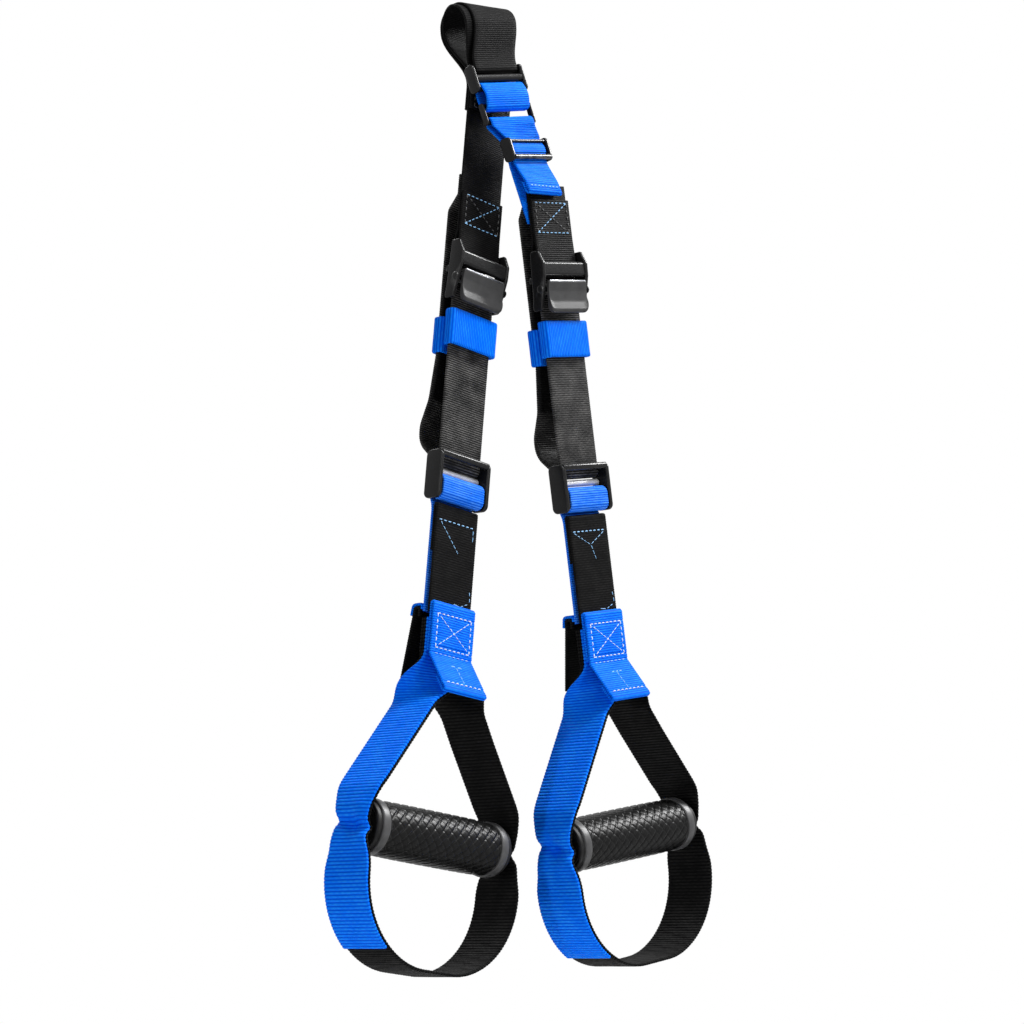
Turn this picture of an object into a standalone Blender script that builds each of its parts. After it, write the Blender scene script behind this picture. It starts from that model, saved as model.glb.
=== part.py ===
"""Suspension trainer: an anchor loop that carries two adjustable webbing legs.

Each leg has a cam buckle, two keepers, a slider frame, a hanger with its tabs, and a
handle with a foot cradle and a grip that turns. Metres, +Z up. The origin is the inside
top of the anchor loop, the front faces -Y, and +X is to the right as seen from the front.
A route is a list of (y, z, corner radius) in the frame of the piece, unless it says (x, z).
"""
import math

import bmesh
import bpy
from mathutils import Euler, Matrix, Vector

# Webbing and clearances
WEB_WIDTH = 0.038
WEB_THICK = 0.0018
GAP = 0.0003
LAYER = WEB_THICK + GAP
WALL_FIT = GAP + WEB_THICK / 2
OVERRUN = 0.001
INNER_HALF = WEB_WIDTH / 2 + 0.0012

# Anchor loop
LOOP_RADIUS = 0.0146
LOOP_JOIN_DROP = 0.058
LOOP_JOIN_LENGTH = 0.016

# Hardware chain that carries the right leg
CHAIN_START = (0.0004, -0.0165, -0.0505)
CHAIN_LEAN = 9.5
CHAIN_PITCH = -11.0
CHAIN_YAW = -6.0
SLIDE_YAW = 7.0
BUCKLE_PLATE_DEPTH = 0.009
BUCKLE_PLATE_HEIGHT = 0.0195
BUCKLE_PLATE_THICK = 0.0026
BUCKLE_MAIN_RADIUS = 0.0029
BUCKLE_MAIN_FORWARD = 0.0012
BUCKLE_BAR_RADIUS = 0.0016
BUCKLE_BAR_OFFSET = 0.0072
LINK_LENGTH = 0.0122
LINK_FRONT_BULGE = 0.0034
LINK_BACK_BULGE = 0.0012
RING_BAR_RADIUS = 0.0015
RING_BAR_OFFSET = 0.006
RING_PLATE_DEPTH = 0.0046
RING_PLATE_HEIGHT = 0.0154
RING_PLATE_THICK = 0.0018
SLIDE_DROP = 0.0205
SLIDE_SHIFT = 0.007
SLIDE_PLATE_DEPTH = 0.0088
SLIDE_PLATE_HEIGHT = 0.0162
SLIDE_PLATE_THICK = 0.0024
SLIDE_BAR_PITCH = 0.0058
SLIDE_TOP_RADIUS = 0.0011
SLIDE_MID_RADIUS = 0.0015
SLIDE_LOW_RADIUS = 0.0019
STRAP_END_LAP = 0.0035
STRAP_END_SHIFT = 0.0029
STRAP_TURN_BACK = 0.012
STRAP_LAP = 0.026
LOOP_LEVEL_SHARE = 0.7

# Legs: cam bar position, sideways lean in degrees, and layers behind the upper strap
CAM_DROP = 0.177
LEFT_CAM = (-0.0185, -0.0085, -CAM_DROP)
RIGHT_CAM = (0.0355, -0.0305, -CAM_DROP)
LEFT_LEAN = 9.8
RIGHT_LEAN = -6.2

# Cam buckle, measured from its strap bar
CAM_BAR_RADIUS = 0.002
CAM_BAR_BACK = 0.0015
FRONT_BAR_RADIUS = 0.0027
FRONT_BAR_FORWARD = 0.0056
FRONT_BAR_DROP = 0.0006
CAM_PLATE_THICK = 0.0025
CAM_PLATE_TOP = 0.0095
CAM_PLATE_BOTTOM = 0.0305
CAM_PLATE_DEPTH = 0.0108
CAM_PLATE_BACK = 0.0075
GUIDE_BAR_RADIUS = 0.002
GUIDE_BAR_BACK = 0.0046
GUIDE_BAR_DROP = 0.0095
PIN_RADIUS = 0.0015
PIN_FORWARD = 0.0046
PIN_DROP = 0.0165
PIN_HEAD_RADIUS = 0.0026
PIN_HEAD_THICK = 0.0009
HUB_RADIUS = 0.0037
LEVER_THICK = 0.0024
LEVER_TOP = 0.0112
LEVER_LENGTH = 0.0215
LEVER_FACE_TOP = 0.0093
LEVER_FACE_BOTTOM = 0.0088
THUMB_DISH = 0.0003
SPRING_WIRE = 0.0008
SPRING_COIL = 0.0027
SPRING_TURNS = 4
SPRING_PITCH = 0.00125
PATCH_TOP = 0.045
PATCH_BOTTOM = 0.018

# Leg straps
RUN_SET = 0.0008
REAR_SET = 0.011
REAR_TOP = 0.057
REAR_LAP = 0.01
REAR_CLEAR = 0.043
BULGE_SET = 0.0205
BULGE_TOP = 0.114
BULGE_BOTTOM = 0.126
TAIL_LENGTH = 0.0975
DRIFT_START = 0.066
DRIFT_SET = 0.0145

# Keepers
KEEPER_HEIGHT = 0.0245
KEEPER_THICK = 0.0022
KEEPER_WEB_GAP = 0.0005
KEEPER_CORNER = 0.0011
FRONT_KEEPER_TOP = 0.0375
FRONT_KEEPER_DEPTH = 0.0046
REAR_KEEPER_TOP = 0.042
REAR_KEEPER_PLAY = 0.0004

# Slider frame
ROLLER_DROP = 0.1395
ROLLER_RADIUS = 0.0022
JOURNAL_RADIUS = 0.0015
FRAME_TOP = 0.134
FRAME_BOTTOM = 0.1665
FRAME_FRONT = 0.0062
FRAME_BACK = 0.0078
FRAME_WALL = 0.0032
FRAME_CORNER = 0.004
FRAME_EDGE = 0.0008
LIP_DEPTH = 0.0048
LIP_HEIGHT = 0.0046
CROSS_DEPTH = 0.0082
CROSS_TOP = 0.1518
CROSS_BOTTOM = 0.1642
CROSS_CORNER = 0.003
ROD_RADIUS = 0.0014
ROD_DROP = 0.1468
ROD_BACK = 0.0032

# Hanger, tabs and handle, as distances below the cam bar
HANGER_TOP = 0.1702
HANGER_SHORT = 0.03
HANGER_BOTTOM = 0.2405
TAB_TOP = 0.2345
TAB_BOTTOM = 0.2685
FLAP_DROP = 0.0235
FLAP_REACH = 0.0165
FLAP_TURN = 0.012
FOLD_RADIUS = 0.00125
REAR_TAB_TOP = 0.2375
REAR_TAB_LENGTH = 0.047
REAR_TAB_WIDTH = 0.0042
REAR_TAB_REACH = 0.0075
REAR_TAB_LEAD = 0.006
TRIM_LENGTH = 0.007
SIDE_TOP = 0.2445
TWIST_TOP = 0.270
TWIST_BOTTOM = 0.308
SPLIT_DROP = 0.284
GRIP_DROP = 0.384
PINCH_HALF = 0.0652
SHOULDER_INSET = 0.0022
SHOULDER_RISE = 0.021
PINCH_WIDTH_SHARE = 0.7
PINCH_SPREAD = 0.03
CRADLE_HALF = 0.0725
CRADLE_DROP = 0.466
CRADLE_RADIUS = 0.056
SPLIT_RADIUS = 0.05
PINCH_RADIUS = 0.02
COVER_END_SHARE = 0.5

# Grip
GRIP_HALF = 0.06
SLEEVE_RADIUS = 0.0172
SLEEVE_CROWN = 0.0005
TUBE_RADIUS = 0.0132
TUBE_BORE = 0.0102
RING_RADIUS = 0.018
RING_WIDTH = 0.0062
CAP_RADIUS = 0.0165
CAP_FLANGE = 0.0036
CAP_DISH = 0.0016
CAP_SPIGOT = 0.007
CORE_RADIUS = 0.004
EDGE_ROUND = 0.001

# Corner rounding and other shares of a size
WRAP_ROUND_SHARE = 0.85
FOLD_ROUND_SHARE = 0.98
BUCKLE_CORNER_SHARE = 0.72
RING_CORNER_SHARE = 0.8
SLIDE_CORNER_SHARE = 0.6
SLIDE_PASS_SHARE = 0.55
LIP_CORNER_SHARE = 0.4
CAM_FRONT_SHARES = ((-0.20, 1.0), (-0.56, 0.10), (-0.52, -0.25), (0.02, -1.0))
CAM_BACK_SHARES = ((0.74, -1.0), (0.62, -0.7), (0.5, 0.0), (0.46, 1.0))

# Smoothness
ARC_STEP = 20.0
TURN_STEPS = 20
BAR_SIDES = 12
LOFT_STEP = 0.0085
BLEND_STEP = 0.007
ARCH_STEPS = 9

BLACK_WEB = ("black_webbing", (0.016, 0.016, 0.018), 0.72, 0.0)
BLUE_WEB = ("blue_webbing", (0.008, 0.105, 0.78), 0.62, 0.0)
DARK_BLUE_WEB = ("dark_blue_webbing", (0.006, 0.05, 0.36), 0.7, 0.0)
HARDWARE = ("hardware", (0.03, 0.03, 0.033), 0.34, 0.55)
LEVER_METAL = ("lever", (0.045, 0.045, 0.048), 0.38, 0.6)
STEEL = ("steel", (0.55, 0.56, 0.58), 0.28, 1.0)
RUBBER = ("grip_rubber", (0.035, 0.035, 0.037), 0.6, 0.0)
RING_GREY = ("ring_grey", (0.16, 0.16, 0.165), 0.4, 0.3)
CAP_DARK = ("cap_dark", (0.02, 0.02, 0.022), 0.5, 0.0)
TUBE_PLASTIC = ("tube_plastic", (0.06, 0.06, 0.065), 0.5, 0.0)
CORE_WEB = ("core_cord", (0.02, 0.02, 0.022), 0.8, 0.0)


def clear_scene():
    for item in list(bpy.data.objects):
        bpy.data.objects.remove(item, do_unlink=True)


def new_collection(name):
    group = bpy.data.collections.new(name)
    bpy.context.scene.collection.children.link(group)
    return group


clear_scene()
PARTS = new_collection("suspension_trainer")


def material(look, owner):
    """A Principled material of its own for one piece."""
    label, colour, roughness, metallic = look
    made = bpy.data.materials.new(f"{label}_{owner}")
    made.use_nodes = True
    shader = made.node_tree.nodes["Principled BSDF"]
    shader.inputs["Base Color"].default_value = (*colour, 1.0)
    shader.inputs["Roughness"].default_value = roughness
    shader.inputs["Metallic"].default_value = metallic
    made.diffuse_color = (*colour, 1.0)
    return made


def settle(item, name, look, frame):
    """Names the piece, gives it its material and hangs it in its frame."""
    for group in list(item.users_collection):
        group.objects.unlink(item)
    PARTS.objects.link(item)
    item.name = name
    item.data.materials.clear()
    item.data.materials.append(material(look, name))
    item.parent = frame
    return item


def frame_empty(name, place, lean, pitch=0.0, yaw=0.0, parent=None):
    """An empty whose -Z runs down the webbing: lean tips it sideways, pitch tips it forward."""
    item = bpy.data.objects.new(name, None)
    PARTS.objects.link(item)
    item.parent = parent
    item.location = place
    item.rotation_euler = (math.radians(pitch), math.radians(lean), math.radians(yaw))
    return item


def frame_matrix(place, lean, pitch=0.0, yaw=0.0):
    turn = Euler((math.radians(pitch), math.radians(lean), math.radians(yaw))).to_matrix().to_4x4()
    return Matrix.Translation(Vector(place)) @ turn


def rounded_route(corners, closed=False):
    """Points of a polyline whose corners (a, b, radius) are arcs."""
    count = len(corners)
    points = []
    for i, (a, b, radius) in enumerate(corners):
        here = Vector((a, b))
        if not closed and i in (0, count - 1) or radius == 0:
            points.append(here)
            continue
        back = (Vector(corners[i - 1][:2]) - here).normalized()
        ahead = (Vector(corners[(i + 1) % count][:2]) - here).normalized()
        half = back.angle(ahead) / 2
        if math.pi / 2 - half < math.radians(1.0):
            points.append(here)
            continue
        centre = here + (back + ahead).normalized() * (radius / math.sin(half))
        start = here + back * (radius / math.tan(half)) - centre
        sweep = math.pi - 2 * half
        if start.y * back.x - start.x * back.y < 0:
            sweep = -sweep
        steps = max(2, math.ceil(abs(math.degrees(sweep)) / ARC_STEP))
        for k in range(steps + 1):
            angle = sweep * k / steps
            c, s = math.cos(angle), math.sin(angle)
            points.append(centre + Vector((start.x * c - start.y * s, start.x * s + start.y * c)))
    return [p for i, p in enumerate(points) if i == 0 or (p - points[i - 1]).length > GAP / 10]


YZ_PLANE = Matrix(((0, 0, 1, 0), (1, 0, 0, 0), (0, 1, 0, 0), (0, 0, 0, 1)))
XY_PLANE = Matrix.Identity(4)


def flat_curve(points, closed, half_extrude, fill):
    data = bpy.data.curves.new("outline", "CURVE")
    data.dimensions = "2D"
    data.fill_mode = fill
    data.extrude = half_extrude
    spline = data.splines.new("POLY")
    spline.points.add(len(points) - 1)
    for slot, point in zip(spline.points, points):
        slot.co = (point[0], point[1], 0.0, 1.0)
    spline.use_cyclic_u = closed
    item = bpy.data.objects.new("outline", data)
    PARTS.objects.link(item)
    return item


def webbing(name, frame, corners, look, closed=False, width=WEB_WIDTH, thick=WEB_THICK,
            plane=YZ_PLANE, middle=(0.0, 0.0, 0.0)):
    """A flat strap: its route, drawn in a plane and swept across, with the strap's thickness."""
    item = flat_curve(rounded_route(corners, closed), closed, width / 2, "NONE")
    shell = item.modifiers.new("Thickness", "SOLIDIFY")
    shell.thickness = thick
    shell.offset = 0.0
    shell.use_even_offset = True
    settle(item, name, look, frame)
    item.matrix_local = Matrix.Translation(Vector(middle)) @ plane
    return item


def lofted_webbing(name, frame, stations, look):
    """A strap that twists or bends two ways, lofted through (centre, across, width) stations."""
    mesh = bpy.data.meshes.new(name)
    build = bmesh.new()
    rows = []
    for centre, across, width in stations:
        side = across.normalized() * (width / 2)
        rows.append((build.verts.new(centre - side), build.verts.new(centre + side)))
    for upper, lower in zip(rows, rows[1:]):
        build.faces.new((upper[0], upper[1], lower[1], lower[0]))
    build.to_mesh(mesh)
    build.free()
    item = bpy.data.objects.new(name, mesh)
    PARTS.objects.link(item)
    shell = item.modifiers.new("Thickness", "SOLIDIFY")
    shell.thickness = WEB_THICK
    shell.offset = 0.0
    shell.use_even_offset = True
    return settle(item, name, look, frame)


def prism(corners, x_low, x_high, edge=0.0):
    """A closed (y, z) outline made solid between two x values, as a mesh."""
    item = flat_curve(rounded_route(corners, True), True, (x_high - x_low) / 2, "BOTH")
    item.matrix_world = Matrix.Translation(((x_low + x_high) / 2, 0.0, 0.0)) @ YZ_PLANE
    return solid_mesh(item, edge)


def solid_mesh(item, edge=0.0):
    """The evaluated object as one welded mesh object, with its edges rounded if asked."""
    bpy.context.view_layer.update()
    view = item.evaluated_get(bpy.context.evaluated_depsgraph_get())
    mesh = bpy.data.meshes.new_from_object(view)
    mesh.transform(item.matrix_world)
    build = bmesh.new()
    build.from_mesh(mesh)
    bmesh.ops.remove_doubles(build, verts=build.verts, dist=GAP / 100)
    build.to_mesh(mesh)
    build.free()
    bpy.data.objects.remove(item, do_unlink=True)
    made = bpy.data.objects.new("solid", mesh)
    PARTS.objects.link(made)
    if edge:
        bevel = made.modifiers.new("Edge", "BEVEL")
        bevel.width = edge
        bevel.segments = 1
        bevel.limit_method = "ANGLE"
        bevel.angle_limit = math.radians(40.0)
        return solid_mesh(made)
    return made


def rod(y, z, radius, x_low, x_high, sides=BAR_SIDES):
    """A round bar along X."""
    bpy.ops.mesh.primitive_cylinder_add(vertices=sides, radius=radius, depth=x_high - x_low)
    item = bpy.context.object
    upright = Matrix.Rotation(math.pi / 2, 4, "Y")
    item.matrix_world = Matrix.Translation(((x_low + x_high) / 2, y, z)) @ upright
    return solid_mesh(item)


def combine(base, others, how):
    """Joins the others to the base, or cuts them from it."""
    for other in others:
        step = base.modifiers.new(how, "BOOLEAN")
        step.operation = how
        step.solver = "EXACT"
        step.object = other
        base = solid_mesh(base)
        bpy.data.objects.remove(other, do_unlink=True)
    return base


def smooth(item, angle=35.0):
    item.data.shade_smooth()
    item.data.set_sharp_from_angle(angle=math.radians(angle))
    return item


def turned(name, frame, profile, look, centre):
    """A round piece about an axis along X, from (x, radius) points of its section."""
    mesh = bpy.data.meshes.new(name)
    build = bmesh.new()
    verts = [build.verts.new((radius, 0.0, -x)) for x, radius in profile]
    ends_on_axis = profile[0][1] == 0.0
    for a, b in zip(verts, verts[1:] if ends_on_axis else verts[1:] + verts[:1]):
        build.edges.new((a, b))
    build.to_mesh(mesh)
    build.free()
    item = bpy.data.objects.new(name, mesh)
    PARTS.objects.link(item)
    screw = item.modifiers.new("Turn", "SCREW")
    screw.axis = "Z"
    screw.steps = TURN_STEPS
    screw.render_steps = TURN_STEPS
    screw.use_merge_vertices = True
    screw.merge_threshold = GAP / 10
    screw.use_smooth_shade = True
    item.matrix_world = Matrix.Rotation(-math.pi / 2, 4, "Y")
    made = smooth(solid_mesh(item))
    settle(made, name, look, frame)
    made.location = centre
    return made


def rounded_box(front, back, bottom, top, radius):
    """Corners of a (y, z) rectangle with one corner radius."""
    return [(front, bottom, radius), (back, bottom, radius), (back, top, radius), (front, top, radius)]


def side_plates(corners, inner, thick, edge):
    """A left and a right plate of one outline."""
    return [prism(corners, inner, inner + thick, edge), prism(corners, -inner - thick, -inner, edge)]


def anchor_buckle(chain):
    half_d, half_h = BUCKLE_PLATE_DEPTH / 2, BUCKLE_PLATE_HEIGHT / 2
    outline = rounded_box(-half_d, half_d, -half_h, half_h, half_d * BUCKLE_CORNER_SHARE)
    plates = side_plates(outline, INNER_HALF, BUCKLE_PLATE_THICK, FRAME_EDGE)
    reach = INNER_HALF + BUCKLE_PLATE_THICK / 2
    bars = [
        rod(-BUCKLE_MAIN_FORWARD, 0.0, BUCKLE_MAIN_RADIUS, -reach, reach, TURN_STEPS),
        rod(0.0, BUCKLE_BAR_OFFSET, BUCKLE_BAR_RADIUS, -reach, reach),
        rod(0.0, -BUCKLE_BAR_OFFSET, BUCKLE_BAR_RADIUS, -reach, reach),
    ]
    body = combine(plates[0], bars + plates[1:], "UNION")
    settle(smooth(body), "anchor_buckle", HARDWARE, chain)


def link_loop(chain):
    """The short blue loop between the anchor buckle and the ring, fuller at its front."""
    top = -BUCKLE_BAR_OFFSET
    bottom = top - LINK_LENGTH
    wrap = max(BUCKLE_BAR_RADIUS, RING_BAR_RADIUS) + WALL_FIT
    middle = (top + bottom) / 2
    front, back = -wrap - LINK_FRONT_BULGE, wrap + LINK_BACK_BULGE
    corners = [
        (wrap, top + wrap, wrap * WRAP_ROUND_SHARE), (-wrap, top + wrap, wrap * WRAP_ROUND_SHARE),
        (front, middle, LINK_LENGTH),
        (-wrap, bottom - wrap, wrap * WRAP_ROUND_SHARE), (wrap, bottom - wrap, wrap * WRAP_ROUND_SHARE),
        (back, middle, LINK_LENGTH),
    ]
    webbing("link_loop", chain, corners, BLUE_WEB, closed=True)
    return bottom


def link_ring(chain, centre):
    half_d, half_h = RING_PLATE_DEPTH / 2, RING_PLATE_HEIGHT / 2
    outline = rounded_box(-half_d, half_d, centre - half_h, centre + half_h, half_d * RING_CORNER_SHARE)
    plates = side_plates(outline, INNER_HALF, RING_PLATE_THICK, FRAME_EDGE)
    reach = INNER_HALF + RING_PLATE_THICK / 2
    bars = [rod(0.0, centre + side * RING_BAR_OFFSET, RING_BAR_RADIUS, -reach, reach) for side in (1, -1)]
    body = combine(plates[0], bars + plates[1:], "UNION")
    settle(smooth(body), "link_ring", HARDWARE, chain)


def strap_slide(frame):
    """The three-bar slide that the blue strap weaves through; returns the bars' places."""
    half_d, half_h = SLIDE_PLATE_DEPTH / 2, SLIDE_PLATE_HEIGHT / 2
    outline = rounded_box(-half_d, half_d, -half_h, half_h, half_d * SLIDE_CORNER_SHARE)
    plates = side_plates(outline, INNER_HALF, SLIDE_PLATE_THICK, FRAME_EDGE)
    reach = INNER_HALF + SLIDE_PLATE_THICK / 2
    places = [
        (-SLIDE_TOP_RADIUS - WALL_FIT, SLIDE_BAR_PITCH, SLIDE_TOP_RADIUS),
        (SLIDE_MID_RADIUS / 2, 0.0, SLIDE_MID_RADIUS),
        (-SLIDE_LOW_RADIUS - WALL_FIT, -SLIDE_BAR_PITCH, SLIDE_LOW_RADIUS),
    ]
    bars = [rod(y, z, radius, -reach, reach) for y, z, radius in places]
    body = combine(plates[0], bars + plates[1:], "UNION")
    settle(smooth(body), "strap_slide", HARDWARE, frame)
    return places


def stations_from(matrix, corners, width=WEB_WIDTH):
    """World stations of a route drawn in a frame's (y, z) plane."""
    across = matrix.to_3x3() @ Vector((1.0, 0.0, 0.0))
    return [(matrix @ Vector((0.0, y, z)), across, width) for y, z in rounded_route(corners)]


def chain_strap(chain_place, slide_place, leg_place, ring_centre, bars):
    """The blue strap round the ring: its front weaves through the slide and ends in a fold in
    front of the right leg, and its back runs down to be sewn behind that leg's upper strap."""
    wrap = RING_BAR_RADIUS + WALL_FIT
    ring_z = ring_centre - RING_BAR_OFFSET
    (top_y, top_z, top_r), (mid_y, mid_z, mid_r), (low_y, low_z, low_r) = bars
    turn = FOLD_RADIUS
    inner, end = -LAYER / 2, PATCH_TOP + STRAP_END_LAP
    end_place = leg_place @ frame_matrix((-STRAP_END_SHIFT, -STRAP_END_SHIFT, 0.0), 0.0, 0.0, SLIDE_YAW)
    folded = stations_from(end_place, [
        (inner, end + STRAP_TURN_BACK, 0.0), (inner, end, turn), (inner - 2 * turn, end, turn),
        (inner - 2 * turn, end + STRAP_TURN_BACK, 0.0)])
    woven = stations_from(slide_place, [
        (low_y + low_r + WALL_FIT, low_z - 2 * low_r, 0.0),
        (low_y + low_r + WALL_FIT, low_z + low_r / 2, low_r),
        (mid_y - mid_r - WALL_FIT, mid_z - mid_r, mid_r),
        (mid_y - mid_r - WALL_FIT, mid_z + mid_r, mid_r),
        (top_y + top_r + WALL_FIT, top_z, top_r * 2),
        (top_y + top_r + WALL_FIT, top_z + 2 * top_r, 0.0)])
    turned_over = stations_from(chain_place, [
        (-wrap, ring_z - wrap, 0.0), (-wrap, ring_z + wrap, wrap),
        (wrap, ring_z + wrap, wrap), (wrap, ring_z - wrap, 0.0)])
    back = mid_y + mid_r + WALL_FIT + GAP
    passing = stations_from(slide_place, [
        (back, mid_z + SLIDE_BAR_PITCH, 0.0),
        (back + GAP, mid_z - SLIDE_PLATE_HEIGHT * SLIDE_PASS_SHARE, 0.0)])
    behind = 1.5 * LAYER
    sewn = stations_from(leg_place, [
        (behind, REAR_TOP + REAR_LAP / 2, 0.0), (behind, PATCH_TOP + REAR_LAP - STRAP_LAP, 0.0)])
    lofted_webbing("adjuster_strap", None, chained([folded, woven, turned_over, passing, sewn]), BLUE_WEB)


def chained(runs):
    """The runs of stations one after another, with a smooth curve across each gap."""
    made = list(runs[0])
    for run in runs[1:]:
        made += blend_stations(made[-1], made[-2], run[0], run[1]) + run
    return made


def blend_stations(last, before, first, after):
    """Stations between two straight strap ends, on a smooth curve that joins them."""
    span = (first[0] - last[0]).length
    lead_in = (last[0] - before[0]).normalized() * span
    lead_out = (after[0] - first[0]).normalized() * span
    count = max(2, math.ceil(span / BLEND_STEP))
    made = []
    for k in range(1, count):
        t = k / count
        centre = (last[0] * (2 * t ** 3 - 3 * t ** 2 + 1) + lead_in * (t ** 3 - 2 * t ** 2 + t)
                  + first[0] * (3 * t ** 2 - 2 * t ** 3) + lead_out * (t ** 3 - t ** 2))
        made.append((centre, last[1].lerp(first[1], t), last[2] + (first[2] - last[2]) * t))
    return made


def loop_arch(radius, first, last, way):
    """Stations over the top of the anchor loop, from front to back (way -1) or back to front."""
    facing = Matrix.Rotation(math.radians(CHAIN_YAW), 3, "Z")
    level = facing @ Vector((1.0, 0.0, 0.0))
    centre = -LOOP_RADIUS + WEB_THICK / 2
    made = []
    for k in range(ARCH_STEPS + 1):
        share = k / ARCH_STEPS
        angle = math.pi * share
        place = facing @ Vector((0.0, math.cos(angle) * radius * way, centre + math.sin(angle) * radius))
        lean = first.lerp(level, share * 2) if share < 0.5 else level.lerp(last, share * 2 - 1)
        made.append((place, lean, WEB_WIDTH))
    return made


def anchor_loop(chain_place, left_place):
    """One strap that starts behind the left leg, goes over the top, round the buckle's upper
    bar, and over the top again inside itself, to end in front of the left leg's strap."""
    wrap = BUCKLE_BAR_RADIUS + WALL_FIT
    level = Vector((1.0, 0.0, 0.0))
    near_leg = (left_place.to_3x3() @ level).lerp(level, LOOP_LEVEL_SHARE)
    near_bar = chain_place.to_3x3() @ level
    height = -left_place.translation.z - LOOP_JOIN_DROP
    behind = stations_from(left_place, [
        (1.5 * LAYER, height - LOOP_JOIN_LENGTH, 0.0), (1.5 * LAYER, height, 0.0)])
    ahead = stations_from(left_place, [
        (-0.5 * LAYER, height, 0.0), (-0.5 * LAYER, height - LOOP_JOIN_LENGTH, 0.0)])
    bar = BUCKLE_BAR_OFFSET
    turn = stations_from(chain_place, [
        (-wrap, bar + wrap / 2, 0.0), (-wrap, bar - wrap, wrap), (wrap, bar - wrap, wrap),
        (wrap, bar + wrap / 2, 0.0)])
    over = loop_arch(LOOP_RADIUS + LAYER, near_leg, near_bar, 1)
    again = loop_arch(LOOP_RADIUS, near_bar, near_leg, -1)
    lofted_webbing("anchor_loop", None, chained([behind, over, turn, again, ahead]), BLACK_WEB)


def upper_strap(side, leg, top):
    """The strap above the cam buckle, whose end folds round the strap bar and is sewn back."""
    wrap = CAM_BAR_RADIUS + WALL_FIT
    set_back = LAYER / 2
    corners = [
        (set_back, top, 0.0), (set_back, PATCH_BOTTOM, wrap * 2),
        (CAM_BAR_BACK + wrap, wrap, wrap), (CAM_BAR_BACK + wrap, -wrap, wrap),
        (CAM_BAR_BACK - wrap, -wrap, wrap), (CAM_BAR_BACK - wrap, wrap, wrap),
        (-set_back, PATCH_BOTTOM, wrap * 2), (-set_back, PATCH_TOP, 0.0),
    ]
    webbing(f"{side}_upper_strap", leg, corners, BLACK_WEB)


def cam_outline():
    """The cam buckle's side plate: bent forward at the front bar and back at its foot."""
    front = CAM_PLATE_BACK - CAM_PLATE_DEPTH
    corners = []
    for across, level in CAM_FRONT_SHARES + CAM_BACK_SHARES:
        height = level * (CAM_PLATE_TOP if level > 0 else CAM_PLATE_BOTTOM)
        corners.append((front + across * CAM_PLATE_DEPTH, height, FRAME_CORNER / 2))
    return corners


def cam_frame(side, leg):
    plates = side_plates(cam_outline(), INNER_HALF, CAM_PLATE_THICK, FRAME_EDGE)
    reach = INNER_HALF + CAM_PLATE_THICK / 2
    bars = [
        rod(CAM_BAR_BACK, 0.0, CAM_BAR_RADIUS, -reach, reach),
        rod(-FRONT_BAR_FORWARD, -FRONT_BAR_DROP, FRONT_BAR_RADIUS, -reach, reach, TURN_STEPS),
        rod(GUIDE_BAR_BACK, -GUIDE_BAR_DROP, GUIDE_BAR_RADIUS, -reach, reach),
    ]
    body = combine(plates[0], bars + plates[1:], "UNION")
    outside = INNER_HALF + CAM_PLATE_THICK + OVERRUN
    bore = rod(-PIN_FORWARD, -PIN_DROP, PIN_RADIUS + GAP, -outside, outside)
    body = combine(body, [bore], "DIFFERENCE")
    settle(smooth(body), f"{side}_cam_frame", HARDWARE, leg)


def cam_pin(side, leg):
    """The lever's pin, with a low head at each end outside the plates."""
    body = INNER_HALF + CAM_PLATE_THICK + GAP
    head = body + PIN_HEAD_THICK
    profile = [(-head, 0.0), (-head, PIN_HEAD_RADIUS), (-body, PIN_HEAD_RADIUS), (-body, PIN_RADIUS),
               (body, PIN_RADIUS), (body, PIN_HEAD_RADIUS), (head, PIN_HEAD_RADIUS), (head, 0.0)]
    turned(f"{side}_cam_pin", leg, profile, STEEL, (0.0, -PIN_FORWARD, -PIN_DROP))


def cam_lever(side, leg):
    """A toothed hub on the pin and a thumb plate that ends in a rounded lip."""
    hinge = frame_empty(f"{side}_lever_axis", (0.0, -PIN_FORWARD, -PIN_DROP), 0.0, parent=leg)
    ahead_top = -LEVER_FACE_TOP + PIN_FORWARD
    ahead_low = -LEVER_FACE_BOTTOM + PIN_FORWARD
    top = PIN_DROP - LEVER_TOP
    low = top - LEVER_LENGTH
    edge = LEVER_THICK / 3
    plate = [
        (ahead_top, top, edge), (ahead_top + THUMB_DISH, (top + low) / 2, LEVER_LENGTH),
        (ahead_low, low, edge),
        (ahead_low + LEVER_THICK, low, edge), (ahead_top + LEVER_THICK, top, edge),
    ]
    half = WEB_WIDTH / 2
    body = prism(plate, -half, half)
    hub_end = half - SPRING_TURNS * SPRING_PITCH - SPRING_WIRE * 2
    hub = rod(0.0, 0.0, HUB_RADIUS, -half + OVERRUN, hub_end, TURN_STEPS)
    body = combine(body, [hub], "UNION")
    bore = rod(0.0, 0.0, PIN_RADIUS + GAP, -half - OVERRUN, half + OVERRUN)
    notch = rod(0.0, 0.0, SPRING_COIL + SPRING_WIRE / 2 + GAP, hub_end, half + OVERRUN)
    body = combine(body, [bore, notch], "DIFFERENCE")
    settle(smooth(body), f"{side}_cam_lever", LEVER_METAL, hinge)


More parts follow.
